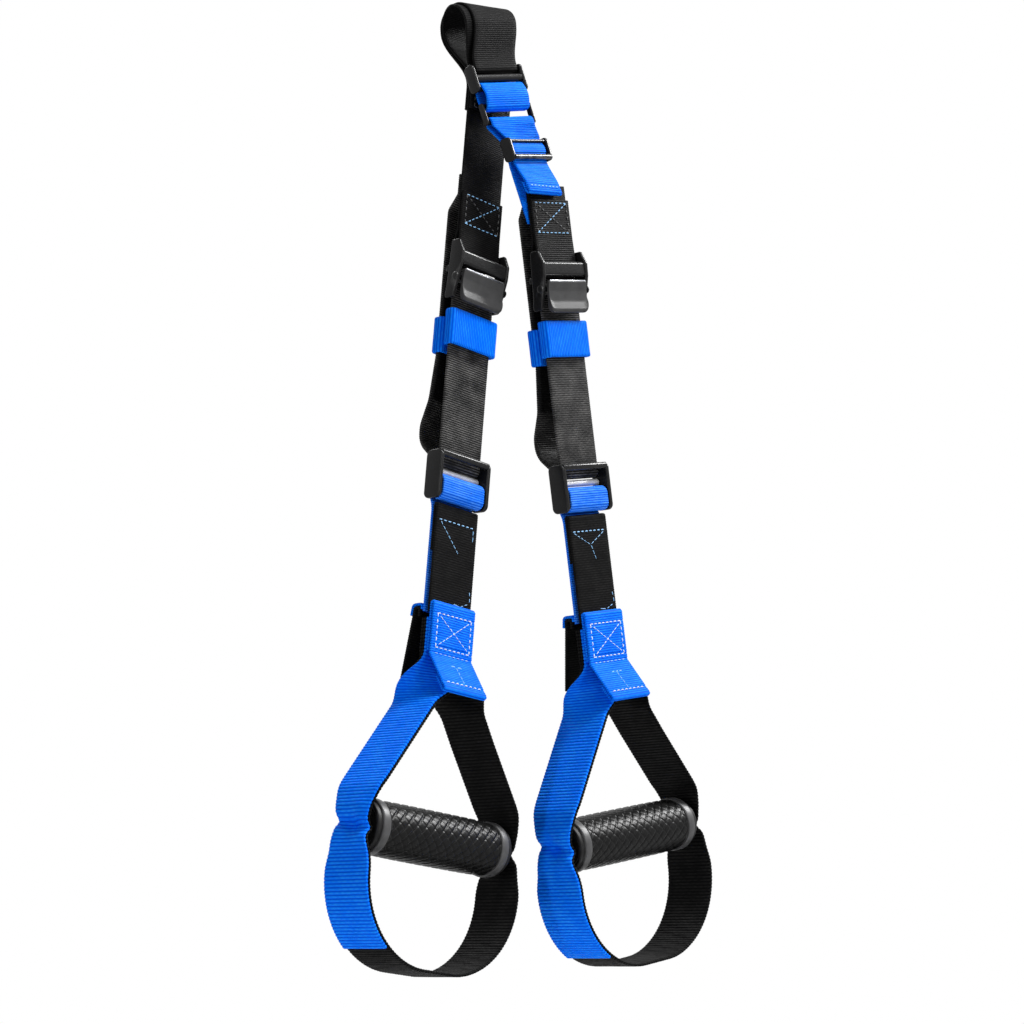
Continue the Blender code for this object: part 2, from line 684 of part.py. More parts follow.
def cam_spring(side, leg):
    """The torsion spring that closes the lever, wound round the pin at its right end."""
    data = bpy.data.curves.new("coil", "CURVE")
    data.dimensions = "3D"
    data.bevel_depth = SPRING_WIRE / 2
    data.bevel_resolution = 1
    data.use_fill_caps = True
    spline = data.splines.new("POLY")
    per_turn = 9
    count = SPRING_TURNS * per_turn + 1
    spline.points.add(count - 1)
    end = WEB_WIDTH / 2 - SPRING_WIRE
    for k in range(count):
        angle = 2 * math.pi * k / per_turn
        x = end - SPRING_PITCH * k / per_turn
        y = -PIN_FORWARD + SPRING_COIL * math.cos(angle)
        z = -PIN_DROP + SPRING_COIL * math.sin(angle)
        spline.points[k].co = (x, y, z, 1.0)
    item = bpy.data.objects.new("coil", data)
    PARTS.objects.link(item)
    settle(smooth(solid_mesh(item)), f"{side}_cam_spring", STEEL, leg)


def rear_run(layers_behind):
    """The rear run's corners from the slider roller up to where it is sewn to the upper strap."""
    lap = LAYER * (0.5 + layers_behind)
    return [
        (BULGE_SET, -BULGE_BOTTOM, FRAME_BACK), (BULGE_SET, -BULGE_TOP, FRAME_BACK),
        (DRIFT_SET, -TAIL_LENGTH, WEB_WIDTH / 2), (REAR_SET, -DRIFT_START, WEB_WIDTH / 2),
        (REAR_SET, REAR_CLEAR - REAR_LAP, REAR_LAP / 2), (lap, REAR_CLEAR, REAR_LAP / 3),
        (lap, REAR_TOP, 0.0),
    ]


def main_strap(side, leg, layers_behind):
    """The long strap: up the front into the cam, and round the roller to the rear run."""
    guide = GUIDE_BAR_RADIUS + WALL_FIT
    roll = ROLLER_RADIUS + WALL_FIT
    corners = [
        (GUIDE_BAR_BACK - GAP, -GUIDE_BAR_DROP + guide, 0.0),
        (GUIDE_BAR_BACK - guide, -GUIDE_BAR_DROP + guide, guide - 2 * GAP),
        (GUIDE_BAR_BACK - guide, -PIN_DROP + HUB_RADIUS, guide),
        (RUN_SET, -PIN_DROP - HUB_RADIUS, guide),
        (RUN_SET, -ROLLER_DROP - roll, roll * FOLD_ROUND_SHARE),
        (RUN_SET + 2 * roll, -ROLLER_DROP - roll, roll * FOLD_ROUND_SHARE),
        (RUN_SET + 2 * roll, -ROLLER_DROP + roll / 2, roll),
    ] + rear_run(layers_behind)
    webbing(f"{side}_main_strap", leg, corners, BLACK_WEB)


def tail_strap(side, leg):
    """The free end of the main strap, behind the guide bar, in front of the rear run."""
    guide = GUIDE_BAR_RADIUS + WALL_FIT
    corners = [
        (GUIDE_BAR_BACK + GAP, -GUIDE_BAR_DROP + guide, 0.0),
        (GUIDE_BAR_BACK + guide, -GUIDE_BAR_DROP + guide, guide - 2 * GAP),
        (GUIDE_BAR_BACK + guide, -GUIDE_BAR_DROP - guide, guide),
        (REAR_SET - LAYER, -PIN_DROP - guide, guide),
        (REAR_SET - LAYER, -DRIFT_START - LAYER, WEB_WIDTH / 2),
        (DRIFT_SET - LAYER * 1.2, -TAIL_LENGTH, 0.0),
    ]
    webbing(f"{side}_tail_strap", leg, corners, BLACK_WEB)


def keeper(name, leg, front, back, top):
    """A sewn blue sleeve round a run: the rounded rectangle between two depths."""
    half_x = WEB_WIDTH / 2 + KEEPER_WEB_GAP + KEEPER_THICK / 2
    low, high = front - KEEPER_THICK / 2, back + KEEPER_THICK / 2
    corners = [(-half_x, low, KEEPER_CORNER * 2), (half_x, low, KEEPER_CORNER * 2),
               (half_x, high, KEEPER_CORNER * 2), (-half_x, high, KEEPER_CORNER * 2)]
    webbing(name, leg, corners, BLUE_WEB, closed=True, width=KEEPER_HEIGHT, thick=KEEPER_THICK,
            plane=XY_PLANE, middle=(0.0, 0.0, -top - KEEPER_HEIGHT / 2))


def keepers(side, leg):
    run_front = RUN_SET - WEB_THICK / 2 - KEEPER_WEB_GAP
    keeper(f"{side}_front_keeper", leg, run_front - FRONT_KEEPER_DEPTH + WEB_THICK + 2 * KEEPER_WEB_GAP,
           run_front + WEB_THICK + 2 * KEEPER_WEB_GAP, FRONT_KEEPER_TOP)
    tail_front = REAR_SET - LAYER - WEB_THICK / 2 - REAR_KEEPER_PLAY
    rear_back = REAR_SET + WEB_THICK / 2 + REAR_KEEPER_PLAY
    keeper(f"{side}_rear_keeper", leg, tail_front, rear_back, REAR_KEEPER_TOP)


def roller_place():
    return RUN_SET + ROLLER_RADIUS + WALL_FIT, -ROLLER_DROP


def slider_roller(side, leg):
    y, z = roller_place()
    body = INNER_HALF - GAP
    tip = INNER_HALF + FRAME_WALL - GAP
    profile = [(-tip, 0.0), (-tip, JOURNAL_RADIUS), (-body, JOURNAL_RADIUS), (-body, ROLLER_RADIUS),
               (body, ROLLER_RADIUS), (body, JOURNAL_RADIUS), (tip, JOURNAL_RADIUS), (tip, 0.0)]
    turned(f"{side}_slider_roller", leg, profile, STEEL, (0.0, y, z))


def slider_frame(side, leg):
    """A deep ring: two walls, a lip in front of the strap and a tall cross bar below."""
    y, z = roller_place()
    outline = rounded_box(-FRAME_FRONT, FRAME_BACK, -FRAME_BOTTOM, -FRAME_TOP, FRAME_CORNER)
    plates = side_plates(outline, INNER_HALF, FRAME_WALL, FRAME_EDGE)
    reach = INNER_HALF + FRAME_WALL / 2
    lip = prism(rounded_box(-FRAME_FRONT, -FRAME_FRONT + LIP_DEPTH, -FRAME_TOP - LIP_HEIGHT, -FRAME_TOP,
                            LIP_HEIGHT * LIP_CORNER_SHARE), -reach, reach)
    cross = prism(rounded_box(-CROSS_DEPTH / 2, CROSS_DEPTH / 2, -CROSS_BOTTOM, -CROSS_TOP, CROSS_CORNER),
                  -reach, reach)
    body = combine(plates[0], [lip, cross] + plates[1:], "UNION")
    outside = INNER_HALF + FRAME_WALL + OVERRUN
    holes = [rod(y, z, JOURNAL_RADIUS + GAP, -outside, outside),
             rod(ROD_BACK, -ROD_DROP, ROD_RADIUS + GAP, -outside, outside)]
    body = combine(body, holes, "DIFFERENCE")
    settle(smooth(body), f"{side}_slider_frame", HARDWARE, leg)
    tip = INNER_HALF + FRAME_WALL - GAP
    bar = rod(ROD_BACK, -ROD_DROP, ROD_RADIUS, -tip, tip)
    settle(smooth(bar), f"{side}_slider_rod", STEEL, leg)


def hanger(side, leg):
    """The blue loop round the cross bar, and below it the two layers that carry the handle."""
    y = CROSS_DEPTH / 2 + WALL_FIT
    top, bottom = -CROSS_TOP + WALL_FIT, -CROSS_BOTTOM - WALL_FIT
    radius = CROSS_CORNER + WALL_FIT
    behind = 1.5 * LAYER
    corners = [
        (behind, -HANGER_TOP + LAYER / 2, 0.0), (y, bottom, radius),
        (y, top, radius), (-y, top, radius), (-y, bottom, radius), (y - LAYER - radius / 2, bottom, 0.0),
    ]
    webbing(f"{side}_hanger_loop", leg, corners, BLUE_WEB)
    corners = [(behind, -HANGER_BOTTOM, 0.0), (behind, -HANGER_TOP - LAYER, 0.0)]
    webbing(f"{side}_hanger_back", leg, corners, BLUE_WEB)
    fold = LAYER / 2
    corners = [
        (-fold, -HANGER_BOTTOM, 0.0), (-fold, -HANGER_TOP + fold, fold * FOLD_ROUND_SHARE),
        (fold, -HANGER_TOP + fold, fold * FOLD_ROUND_SHARE), (fold, -HANGER_TOP - HANGER_SHORT, 0.0),
    ]
    webbing(f"{side}_hanger_strap", leg, corners, BLACK_WEB)


def tabs(side, leg):
    """The sewn front tab, whose flap kicks forward, and the rear tab with its blue edge."""
    inner, outer = -1.5 * LAYER, -1.5 * LAYER - 2 * FOLD_RADIUS
    tip_y, tip_z = outer - FLAP_REACH, -TAB_BOTTOM - FLAP_DROP
    along = Vector((-FLAP_REACH, -FLAP_DROP)).normalized()
    square = Vector((-along.y, along.x)) * (2 * FOLD_RADIUS)
    if square.x < 0:
        square = -square
    back = Vector((tip_y, tip_z)) + square
    root = back - along * FLAP_TURN
    corners = [
        (inner, -TAB_BOTTOM + LAYER, 0.0), (inner, -TAB_TOP, FOLD_RADIUS * FOLD_ROUND_SHARE),
        (outer, -TAB_TOP, FOLD_RADIUS * FOLD_ROUND_SHARE), (outer, -TAB_BOTTOM, FOLD_RADIUS * 3),
        (tip_y, tip_z, FOLD_RADIUS * FOLD_ROUND_SHARE),
        (back.x, back.y, FOLD_RADIUS * FOLD_ROUND_SHARE), (root.x, root.y, 0.0),
    ]
    webbing(f"{side}_front_tab", leg, corners, BLUE_WEB)
    near, far = 3.5 * LAYER, 3.5 * LAYER + REAR_TAB_WIDTH
    slope = REAR_TAB_REACH / REAR_TAB_LENGTH
    corners = [
        (near, -REAR_TAB_TOP - REAR_TAB_LEAD, 0.0), (near, -REAR_TAB_TOP, LAYER / 2),
        (far, -REAR_TAB_TOP, LAYER / 2), (far + REAR_TAB_REACH, -REAR_TAB_TOP - REAR_TAB_LENGTH, 0.0),
    ]
    webbing(f"{side}_rear_tab", leg, corners, BLACK_WEB)
    lift = -REAR_TAB_TOP + LAYER
    over = far + LAYER * (1 - slope / 2)
    corners = [
        (near - LAYER, lift - TRIM_LENGTH / 2, 0.0), (near - LAYER, lift, LAYER), (over, lift, LAYER),
        (over + TRIM_LENGTH * slope, lift - TRIM_LENGTH, 0.0),
    ]
    webbing(f"{side}_rear_trim", leg, corners, BLUE_WEB)


def half_loop():
    """(x, z) points of one side of the handle, from under the tab to the cradle's middle."""
    return rounded_route([
        (0.0, -SIDE_TOP, 0.0), (0.0, -SPLIT_DROP, SPLIT_RADIUS),
        (PINCH_HALF - SHOULDER_INSET, -GRIP_DROP + SHOULDER_RISE, PINCH_RADIUS),
        (PINCH_HALF, -GRIP_DROP, PINCH_RADIUS),
        (CRADLE_HALF, -CRADLE_DROP, CRADLE_RADIUS), (0.0, -CRADLE_DROP, 0.0),
    ])


def dense(points):
    """The same points with long straight pieces divided."""
    made = [points[0]]
    for a, b in zip(points, points[1:]):
        parts = max(1, math.ceil((b - a).length / LOFT_STEP))
        made += [a.lerp(b, k / parts) for k in range(1, parts + 1)]
    return made


def twist_at(z):
    """How far the strap has turned from facing forward to facing sideways, in radians."""
    share = min(1.0, max(0.0, (-z - TWIST_TOP) / (TWIST_BOTTOM - TWIST_TOP)))
    return math.pi / 2 * share * share * (3 - 2 * share)


def width_at(x, z):
    """The strap's width, gathered where it passes the end of the grip."""
    near = max(0.0, 1 - abs(z + GRIP_DROP) / PINCH_SPREAD)
    near = near * near * (3 - 2 * near)
    return WEB_WIDTH * (1 - (1 - PINCH_WIDTH_SHARE) * near) if abs(x) > PINCH_HALF / 2 else WEB_WIDTH


def handle_stations(points, mirror, offset):
    """Stations of one side strap; offset is its distance outside the loop's own surface."""
    made = []
    for i, point in enumerate(points):
        turn = twist_at(point.y)
        across = Vector((math.cos(turn), math.sin(turn), 0.0))
        before, after = points[max(0, i - 1)], points[min(len(points) - 1, i + 1)]
        ahead = Vector(((after.x - before.x) * mirror, 0.0, after.y - before.y)).normalized()
        outward = across.cross(ahead).normalized()
        centre = Vector((point.x * mirror, LAYER / 2, point.y)) + outward * offset
        made.append((centre, across, width_at(point.x, point.y)))
    return made


def handle_straps(side, leg):
    """The black loop that makes both handle sides and the cradle, and the blue outer layer."""
    points = dense(half_loop())
    left = handle_stations(points, -1, 0.0)
    right = []
    for (centre, across, width), point in zip(handle_stations(points, 1, 0.0), points):
        turn = twist_at(point.y)
        spare = LAYER * max(0.0, 1 - point.x / (PINCH_HALF / 2))
        centre = centre + Vector((math.sin(turn), -math.cos(turn), 0.0)) * spare
        right.append((centre, across, width))
    lofted_webbing(f"{side}_cradle_strap", leg, left + right[-2::-1], BLACK_WEB)
    count = sum(p.y > -CRADLE_DROP + GAP or p.x > CRADLE_HALF * COVER_END_SHARE for p in points)
    lofted_webbing(f"{side}_side_strap", leg, handle_stations(points, -1, LAYER + 2 * GAP)[:count], BLUE_WEB)


def grip(side, leg):
    """The grip's pieces, turned about the cord that runs between the two side straps."""
    centre = (0.0, LAYER / 2, -GRIP_DROP)
    axis = frame_empty(f"{side}_grip_axis", centre, 0.0, parent=leg)
    tube_end = GRIP_HALF - CAP_FLANGE - GAP
    ring_out = tube_end
    ring_in = ring_out - RING_WIDTH
    sleeve_end = ring_in - GAP
    fit = TUBE_RADIUS + GAP
    edge = EDGE_ROUND
    tube = [(-tube_end, TUBE_BORE), (-tube_end, TUBE_RADIUS),
            (tube_end, TUBE_RADIUS), (tube_end, TUBE_BORE)]
    turned(f"{side}_grip_tube", axis, tube, TUBE_PLASTIC, (0, 0, 0))
    crown = SLEEVE_RADIUS + SLEEVE_CROWN
    turned(f"{side}_grip_sleeve", axis, [
        (-sleeve_end, fit), (-sleeve_end, SLEEVE_RADIUS - edge), (-sleeve_end + edge, SLEEVE_RADIUS),
        (-sleeve_end / 2, crown), (sleeve_end / 2, crown), (sleeve_end - edge, SLEEVE_RADIUS),
        (sleeve_end, SLEEVE_RADIUS - edge), (sleeve_end, fit)], RUBBER, (0, 0, 0))
    for label, way in (("left", -1), ("right", 1)):
        ring = [(ring_in, fit), (ring_in, RING_RADIUS - edge), (ring_in + edge, RING_RADIUS),
                (ring_out - edge, RING_RADIUS), (ring_out, RING_RADIUS - edge), (ring_out, fit)]
        cap_in = ring_out + GAP
        hole = CORE_RADIUS + GAP
        cap = [(cap_in - CAP_SPIGOT, hole), (cap_in - CAP_SPIGOT, TUBE_BORE - GAP), (cap_in, TUBE_BORE - GAP),
               (cap_in, CAP_RADIUS), (GRIP_HALF - edge, CAP_RADIUS), (GRIP_HALF, CAP_RADIUS - edge),
               (GRIP_HALF, CAP_RADIUS - 2 * edge), (GRIP_HALF - CAP_DISH, CAP_RADIUS - 3 * edge),
               (GRIP_HALF - CAP_DISH, hole)]
        for tag, profile, look in ((f"{side}_{label}_grip_ring", ring, RING_GREY),
                                   (f"{side}_{label}_grip_cap", cap, CAP_DARK)):
            if way < 0:
                profile = [(-x, radius) for x, radius in reversed(profile)]
            turned(tag, axis, profile, look, (0, 0, 0))
    end = PINCH_HALF - WEB_THICK / 2 - GAP * 2
    core = rod(centre[1], centre[2], CORE_RADIUS, -end, end)
    settle(smooth(core), f"{side}_grip_core", CORE_WEB, leg)


def leg_pieces(side, place, lean, layers_behind, strap_top):
    leg = frame_empty(f"{side}_leg", place, lean)
    upper_strap(side, leg, strap_top)
    cam_frame(side, leg)
    cam_pin(side, leg)
    cam_lever(side, leg)
    cam_spring(side, leg)
    main_strap(side, leg, layers_behind)
    tail_strap(side, leg)
    keepers(side, leg)
    slider_roller(side, leg)
    slider_frame(side, leg)
    hanger(side, leg)
    tabs(side, leg)
    handle_straps(side, leg)
    grip(side, leg)


def build():
    chain = frame_empty("anchor_chain", CHAIN_START, -CHAIN_LEAN, CHAIN_PITCH, CHAIN_YAW)
    chain_place = frame_matrix(CHAIN_START, -CHAIN_LEAN, CHAIN_PITCH, CHAIN_YAW)
    left_place = frame_matrix(LEFT_CAM, LEFT_LEAN)
    right_place = frame_matrix(RIGHT_CAM, RIGHT_LEAN)
    anchor_buckle(chain)
    ring_centre = link_loop(chain) - RING_BAR_OFFSET
    link_ring(chain, ring_centre)
    slide_drop = ring_centre - RING_BAR_OFFSET - SLIDE_DROP
    slide_at = chain_place @ Vector((SLIDE_SHIFT, 0.0, slide_drop))
    slide = frame_empty("slide_place", slide_at, -CHAIN_LEAN, CHAIN_PITCH, SLIDE_YAW)
    slide_place = frame_matrix(slide_at, -CHAIN_LEAN, CHAIN_PITCH, SLIDE_YAW)
    bars = strap_slide(slide)
    chain_strap(chain_place, slide_place, right_place, ring_centre, bars)
    anchor_loop(chain_place, left_place)
    left_top = -LEFT_CAM[2] - LOOP_JOIN_DROP
    leg_pieces("left", LEFT_CAM, LEFT_LEAN, 1, left_top)
    leg_pieces("right", RIGHT_CAM, RIGHT_LEAN, 2, PATCH_TOP + REAR_LAP)


build()
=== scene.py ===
"""The looks of the suspension trainer: woven straps, stitching, hardware, grips and light.

Everything is in metres in the frame's own axes: +Z up, front -Y, and the origin at the inside
top of the anchor loop. A route is a list of (y, z, corner radius) in the axes of its leg or of
the anchor chain, whose -Z runs down the webbing. An across share runs from -1 to 1 over a strap.
"""

import math

import bmesh
import bpy
import numpy as np
from mathutils import Euler, Matrix, Vector


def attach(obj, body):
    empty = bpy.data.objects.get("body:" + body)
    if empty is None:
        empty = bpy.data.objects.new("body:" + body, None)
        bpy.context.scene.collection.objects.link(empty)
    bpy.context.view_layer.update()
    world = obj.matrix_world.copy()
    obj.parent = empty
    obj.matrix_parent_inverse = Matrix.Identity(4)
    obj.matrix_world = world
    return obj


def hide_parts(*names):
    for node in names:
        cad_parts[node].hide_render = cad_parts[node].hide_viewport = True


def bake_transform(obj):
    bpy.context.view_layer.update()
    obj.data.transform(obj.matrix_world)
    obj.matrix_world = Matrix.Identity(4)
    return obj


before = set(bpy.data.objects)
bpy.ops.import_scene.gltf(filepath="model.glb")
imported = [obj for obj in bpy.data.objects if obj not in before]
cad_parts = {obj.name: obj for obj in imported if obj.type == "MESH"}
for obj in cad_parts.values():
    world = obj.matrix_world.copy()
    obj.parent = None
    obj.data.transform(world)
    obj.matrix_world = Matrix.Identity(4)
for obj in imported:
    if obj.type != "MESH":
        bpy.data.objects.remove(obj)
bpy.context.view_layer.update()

# Webbing
WEB_WIDTH = 0.038
WEB_THICK = 0.0018
GAP = 0.0003
LAYER = WEB_THICK + GAP
WALL_FIT = GAP + WEB_THICK / 2
INNER_HALF = WEB_WIDTH / 2 + 0.0012
RIB_PITCH = 0.0016
FINE_PITCH = 0.0014
MAIN_PITCH = 0.0015
BOLD_PITCH = 0.0023
RIB_HEIGHT = 0.00010
FINE_RIB = 0.00005
BOLD_RIB = 0.00015
ROWS_PER_RIB = 4
FACE_COLUMNS = 14
ARC_STEP = 6.0
HANDLE_ARC_STEP = 3.0
BLEND_STEP = 0.003
YARN_PITCH = 0.00055
WEB_SHARP, HARD_SHARP, THREAD_SHARP = 50.0, 38.0, 80.0

# Places of the anchor chain and the legs
LOOP_RADIUS = 0.0146
LOOP_JOIN_DROP = 0.058
LOOP_JOIN_LENGTH = 0.016
LOOP_LEVEL_SHARE = 0.7
LOOP_ASIDE = 0.0028
ARCH_STEPS, ARCH_SPREAD = 30, 1.6
CHAIN_START = (0.0004, -0.0165, -0.0505)
CHAIN_TURN = (-9.5, -11.0, -6.0)
SLIDE_YAW = 7.0
SLIDE_SHIFT = 0.007
SLIDE_DROP = 0.0205
LEFT_CAM = (-0.0185, -0.0085, -0.177)
RIGHT_CAM = (0.0355, -0.0305, -0.177)
LEFT_LEAN = 9.8
RIGHT_LEAN = -6.2

# Anchor hardware. A plate is its depth, height, thickness, corner share and edge radius
PLATE_EDGE, BAR_EDGE = 0.0008, 0.0003
BUCKLE_PLATE = (0.009, 0.0195, 0.0026, 0.72, 0.001)
BUCKLE_MAIN_RADIUS, BUCKLE_MAIN_FORWARD = 0.0029, 0.0012
BUCKLE_BAR_RADIUS, BUCKLE_BAR_OFFSET = 0.0016, 0.0072
LINK_LENGTH, LINK_FRONT_BULGE, LINK_BACK_BULGE = 0.0122, 0.0034, 0.0012
RING_BAR_RADIUS, RING_BAR_OFFSET = 0.0015, 0.006
RING_PLATE = (0.0046, 0.0154, 0.0018, 0.8, 0.0007)
SLIDE_PLATE = (0.0088, 0.0162, 0.0024, 0.6, PLATE_EDGE)
SLIDE_BAR_PITCH = 0.0058
SLIDE_RADII = (0.0011, 0.0015, 0.0019)
STRAP_END_LAP, STRAP_END_SHIFT, STRAP_TURN_BACK, STRAP_LAP = 0.0035, 0.0029, 0.0068, 0.026
SLIDE_PASS_SHARE = 0.55
STRAP_END_ASIDE, STRAP_END_SLANT, REAR_SLANT = -0.0085, 0.5, 0.3
ADJUSTER_PULL, STRAP_ROW_RISE, STRAP_ROW_HALF = 0.35, 0.0045, 0.016
LINK_ROUND = 0.85

# Cam buckle
CAM_BAR_RADIUS, CAM_BAR_BACK = 0.002, 0.0015
FRONT_BAR_FORWARD, FRONT_BAR_DROP = 0.0056, 0.0028
FRONT_BAR_DEPTH, FRONT_BAR_HEIGHT, FRONT_BAR_ROUND = 0.005, 0.0104, 0.0024
CAM_PLATE_THICK = 0.0025
CAM_PLATE_TOP, CAM_PLATE_BOTTOM = 0.0095, 0.0305
CAM_PLATE_DEPTH, CAM_PLATE_BACK, CAM_PLATE_ROUND = 0.0108, 0.0075, 0.002
CAM_SHARES = ((-0.20, 1.0), (-0.56, 0.10), (-0.52, -0.25), (0.02, -1.0),
              (0.74, -1.0), (0.62, -0.7), (0.5, 0.0), (0.46, 1.0))
GUIDE_BAR_RADIUS, GUIDE_BAR_BACK, GUIDE_BAR_DROP = 0.002, 0.0046, 0.0095
PIN_RADIUS, PIN_FORWARD, PIN_DROP = 0.0015, 0.0046, 0.0165
PIN_HEAD_RADIUS, PIN_HEAD_THICK = 0.0026, 0.0009
PIN_DOME = ((0.45, 1.0), (0.15, 0.85), (0.0, 0.5), (0.0, 0.0))
HUB_RADIUS, HUB_TEETH, TOOTH_DEPTH = 0.0037, 20, 0.0003
LEVER_THICK, LEVER_TOP, LEVER_LENGTH = 0.0024, 0.0112, 0.0215
LEVER_FACE_TOP, LEVER_FACE_BOTTOM, LEVER_CORNER, LEVER_EDGE = 0.0093, 0.0088, 0.0045, 0.0006
SPRING_WIRE, SPRING_COIL, SPRING_TURNS, SPRING_PITCH = 0.0008, 0.0027, 4, 0.00125
SPRING_STEPS, SPRING_SIDES = 24, 10
PATCH_TOP, PATCH_BOTTOM = 0.045, 0.018

# Runs of the long strap, keepers and slider
RUN_SET, REAR_SET, REAR_TOP, REAR_LAP, REAR_CLEAR = 0.0008, 0.011, 0.057, 0.01, 0.043
BULGE_SET, BULGE_TOP, BULGE_BOTTOM, BULGE_RADIUS = 0.0205, 0.114, 0.126, 0.016
TAIL_LENGTH, DRIFT_START, DRIFT_SET = 0.0975, 0.066, 0.0145
CREST_RISE, MAIN_BLEND_START, MAIN_BLEND_END = 0.0008, 0.026, 0.130
ARC_FIT = 0.98
KEEPER_HEIGHT, KEEPER_THICK, KEEPER_WEB_GAP, KEEPER_CORNER = 0.0245, 0.0022, 0.0005, 0.0011
FRONT_KEEPER_TOP, FRONT_KEEPER_DEPTH = 0.0375, 0.0046
REAR_KEEPER_TOP, REAR_KEEPER_PLAY = 0.042, 0.0004
ROLLER_DROP, ROLLER_RADIUS, JOURNAL_RADIUS = 0.1395, 0.0022, 0.0015
FRAME_TOP, FRAME_BOTTOM = 0.134, 0.1665
FRAME_FRONT, FRAME_BACK, FRAME_WALL, FRAME_CORNER = 0.0062, 0.0078, 0.0032, 0.004
LIP_DEPTH, LIP_HEIGHT = 0.0048, 0.0046
CROSS_DEPTH, CROSS_TOP, CROSS_BOTTOM, CROSS_CORNER = 0.0082, 0.1518, 0.1642, 0.003
ROD_RADIUS, ROD_DROP, ROD_BACK = 0.0014, 0.1468, 0.0032
KNURL_RADIUS, KNURL_IN, KNURL_DEPTH, KNURL_COUNT, KNURL_RATE = 0.0023, 0.0006, 0.0001, 14, 3600
BORE_SHARE = 0.62

# Hanger, tabs and handle, as distances below the cam bar
HANGER_TOP, HANGER_SHORT, HANGER_BOTTOM = 0.1702, 0.03, 0.2405
SWING_DROP, SWING_BLEND_UP, SWING_BLEND_DOWN = 0.1722, 0.006, 0.008
TAB_TOP, TAB_BOTTOM, FLAP_DROP, FLAP_REACH, FLAP_TURN = 0.2345, 0.2685, 0.0235, 0.0165, 0.012
FOLD_RADIUS = 0.00125
REAR_TAB_TOP, REAR_TAB_LENGTH, REAR_TAB_WIDTH = 0.2375, 0.047, 0.0042
REAR_TAB_REACH, REAR_TAB_LEAD, TRIM_LENGTH = 0.0075, 0.006, 0.007
SIDE_TOP, SPLIT_DROP, TWIST_TOP, TWIST_BOTTOM = 0.2445, 0.271, 0.268, 0.304
GRIP_DROP, PINCH_HALF, SHOULDER_INSET, SHOULDER_RISE = 0.384, 0.0652, 0.0022, 0.021
PINCH_WIDTH_SHARE, PINCH_SPREAD = 0.7, 0.03
CRADLE_HALF, CRADLE_DROP, CRADLE_RADIUS = 0.0680, 0.4685, 0.055
SPLIT_RADIUS, PINCH_RADIUS, COVER_END_SHARE = 0.02, 0.02, 0.655
PLEAT_DEPTH, PLEAT_SPREAD, PLEAT_WAVES = 0.0012, 0.020, 1.2
DENT_DEPTH, DENT_SPREAD, DENT_DROP = 0.0046, 0.0034, 0.0005
BULGE_OUT, BULGE_SPREAD, BULGE_RISE = 0.0024, 0.0060, 0.0105

# Grip
GRIP_HALF, SLEEVE_RADIUS, SLEEVE_CROWN = 0.06, 0.0172, 0.0005
TUBE_RADIUS, TUBE_BORE, RING_RADIUS, RING_WIDTH = 0.0132, 0.0102, 0.018, 0.0062
CAP_RADIUS, CAP_FLANGE, CAP_DISH, CAP_SPIGOT = 0.0165, 0.0036, 0.0016, 0.007
CORE_RADIUS, EDGE_ROUND = 0.004, 0.001
CORE_STRANDS, CORE_RATE, CORE_DEPTH = 3, 900, 0.0002
GROOVE_STARTS, GROOVE_LEAD = 14, 0.107
DEEP_GROOVE, SHALLOW_GROOVE = 0.00046, 0.00022
GROOVE_SHARE = 0.2

# Thread
THREAD_RADIUS, STITCH_LENGTH, STITCH_SPACE = 0.00034, 0.0026, 0.0011
THIN_LINE = (0.0030, 0.0003, 0.00022)
SEAM_HALF, SEAM_IN, PATCH_SEAM_TOP, PATCH_SEAM_BOTTOM = 0.0155, 0.002, 0.0022, 0.0045
TAB_SEAM_HALF, TAB_SEAM_TOP, TAB_SEAM_BOTTOM, TAB_FOLD_SEAM = 0.0152, 0.0072, 0.0046, 0.0008
CROSS_IN, CROSS_DOWN, HEM_ROW = 0.0022, 0.002, 0.0052
PANEL_RISE, PRESSED_DEPTH = 0.0006, 0.0003
STITCH_SPOTS, STITCH_SIDES = 6, 8
HANGER_ROW = (-0.0165, -0.1795, 0.0150, -0.1795)
HANGER_THIN_ROWS = {
    "left": ((-0.0150, -0.1803, 0.0030, -0.199), (0.0152, -0.1805, 0.0152, -0.1885)),
    "right": ((-0.0155, -0.1805, -0.0005, -0.1885), (0.0145, -0.1805, 0.0005, -0.1885),
              (0.0003, -0.189, 0.004, -0.199))}
HANGER_EDGE_ROWS = ((0.0160, -0.2215, 0.0168, -0.2285), (0.002, -0.2322, 0.008, -0.2328),
                    (0.009, -0.2326, 0.0150, -0.2300))

# Stage. A lamp is its name, place, power, size and whether it lights matt surfaces
WORLD_LIGHT = 0.18
FLOOR_REACH, FLOOR_Z, FLOOR_SIDES = 0.98, -0.76, 64
LAMP_AIM = Vector((0.0, 0.0, -0.33))
LAMPS = (("key", (0.62, -0.95, 1.55), 62.0, (0.30, 0.45), True),
         ("glow", (1.45, -0.70, 0.75), 55.0, (0.5, 0.5), False),
         ("front", (0.1, -2.2, 0.45), 15.0, (0.5, 1.0), True),
         ("strip", (-1.9, -0.2, 0.2), 9.0, (0.10, 1.4), True),
         ("rim", (0.3, 1.3, 1.2), 10.0, (0.6, 0.5), True))
CAMERA_PLACE, CAMERA_LENS = (-1.3456, -1.2686, -0.5526), 98.4375
CAMERA_ANGLES = (math.radians(-47.0), math.atan(318 / 2800), math.radians(2.5))


# Axes and routes

ACROSS, BACK, UP = Vector((1.0, 0.0, 0.0)), Vector((0.0, 1.0, 0.0)), Vector((0.0, 0.0, 1.0))


def axes(place, lean, pitch=0.0, yaw=0.0):
    turn = Euler([math.radians(angle) for angle in (pitch, lean, yaw)])
    return Matrix.Translation(Vector(place)) @ turn.to_matrix().to_4x4()


def shifted(matrix, x, y, z):
    return matrix @ Matrix.Translation((x, y, z))


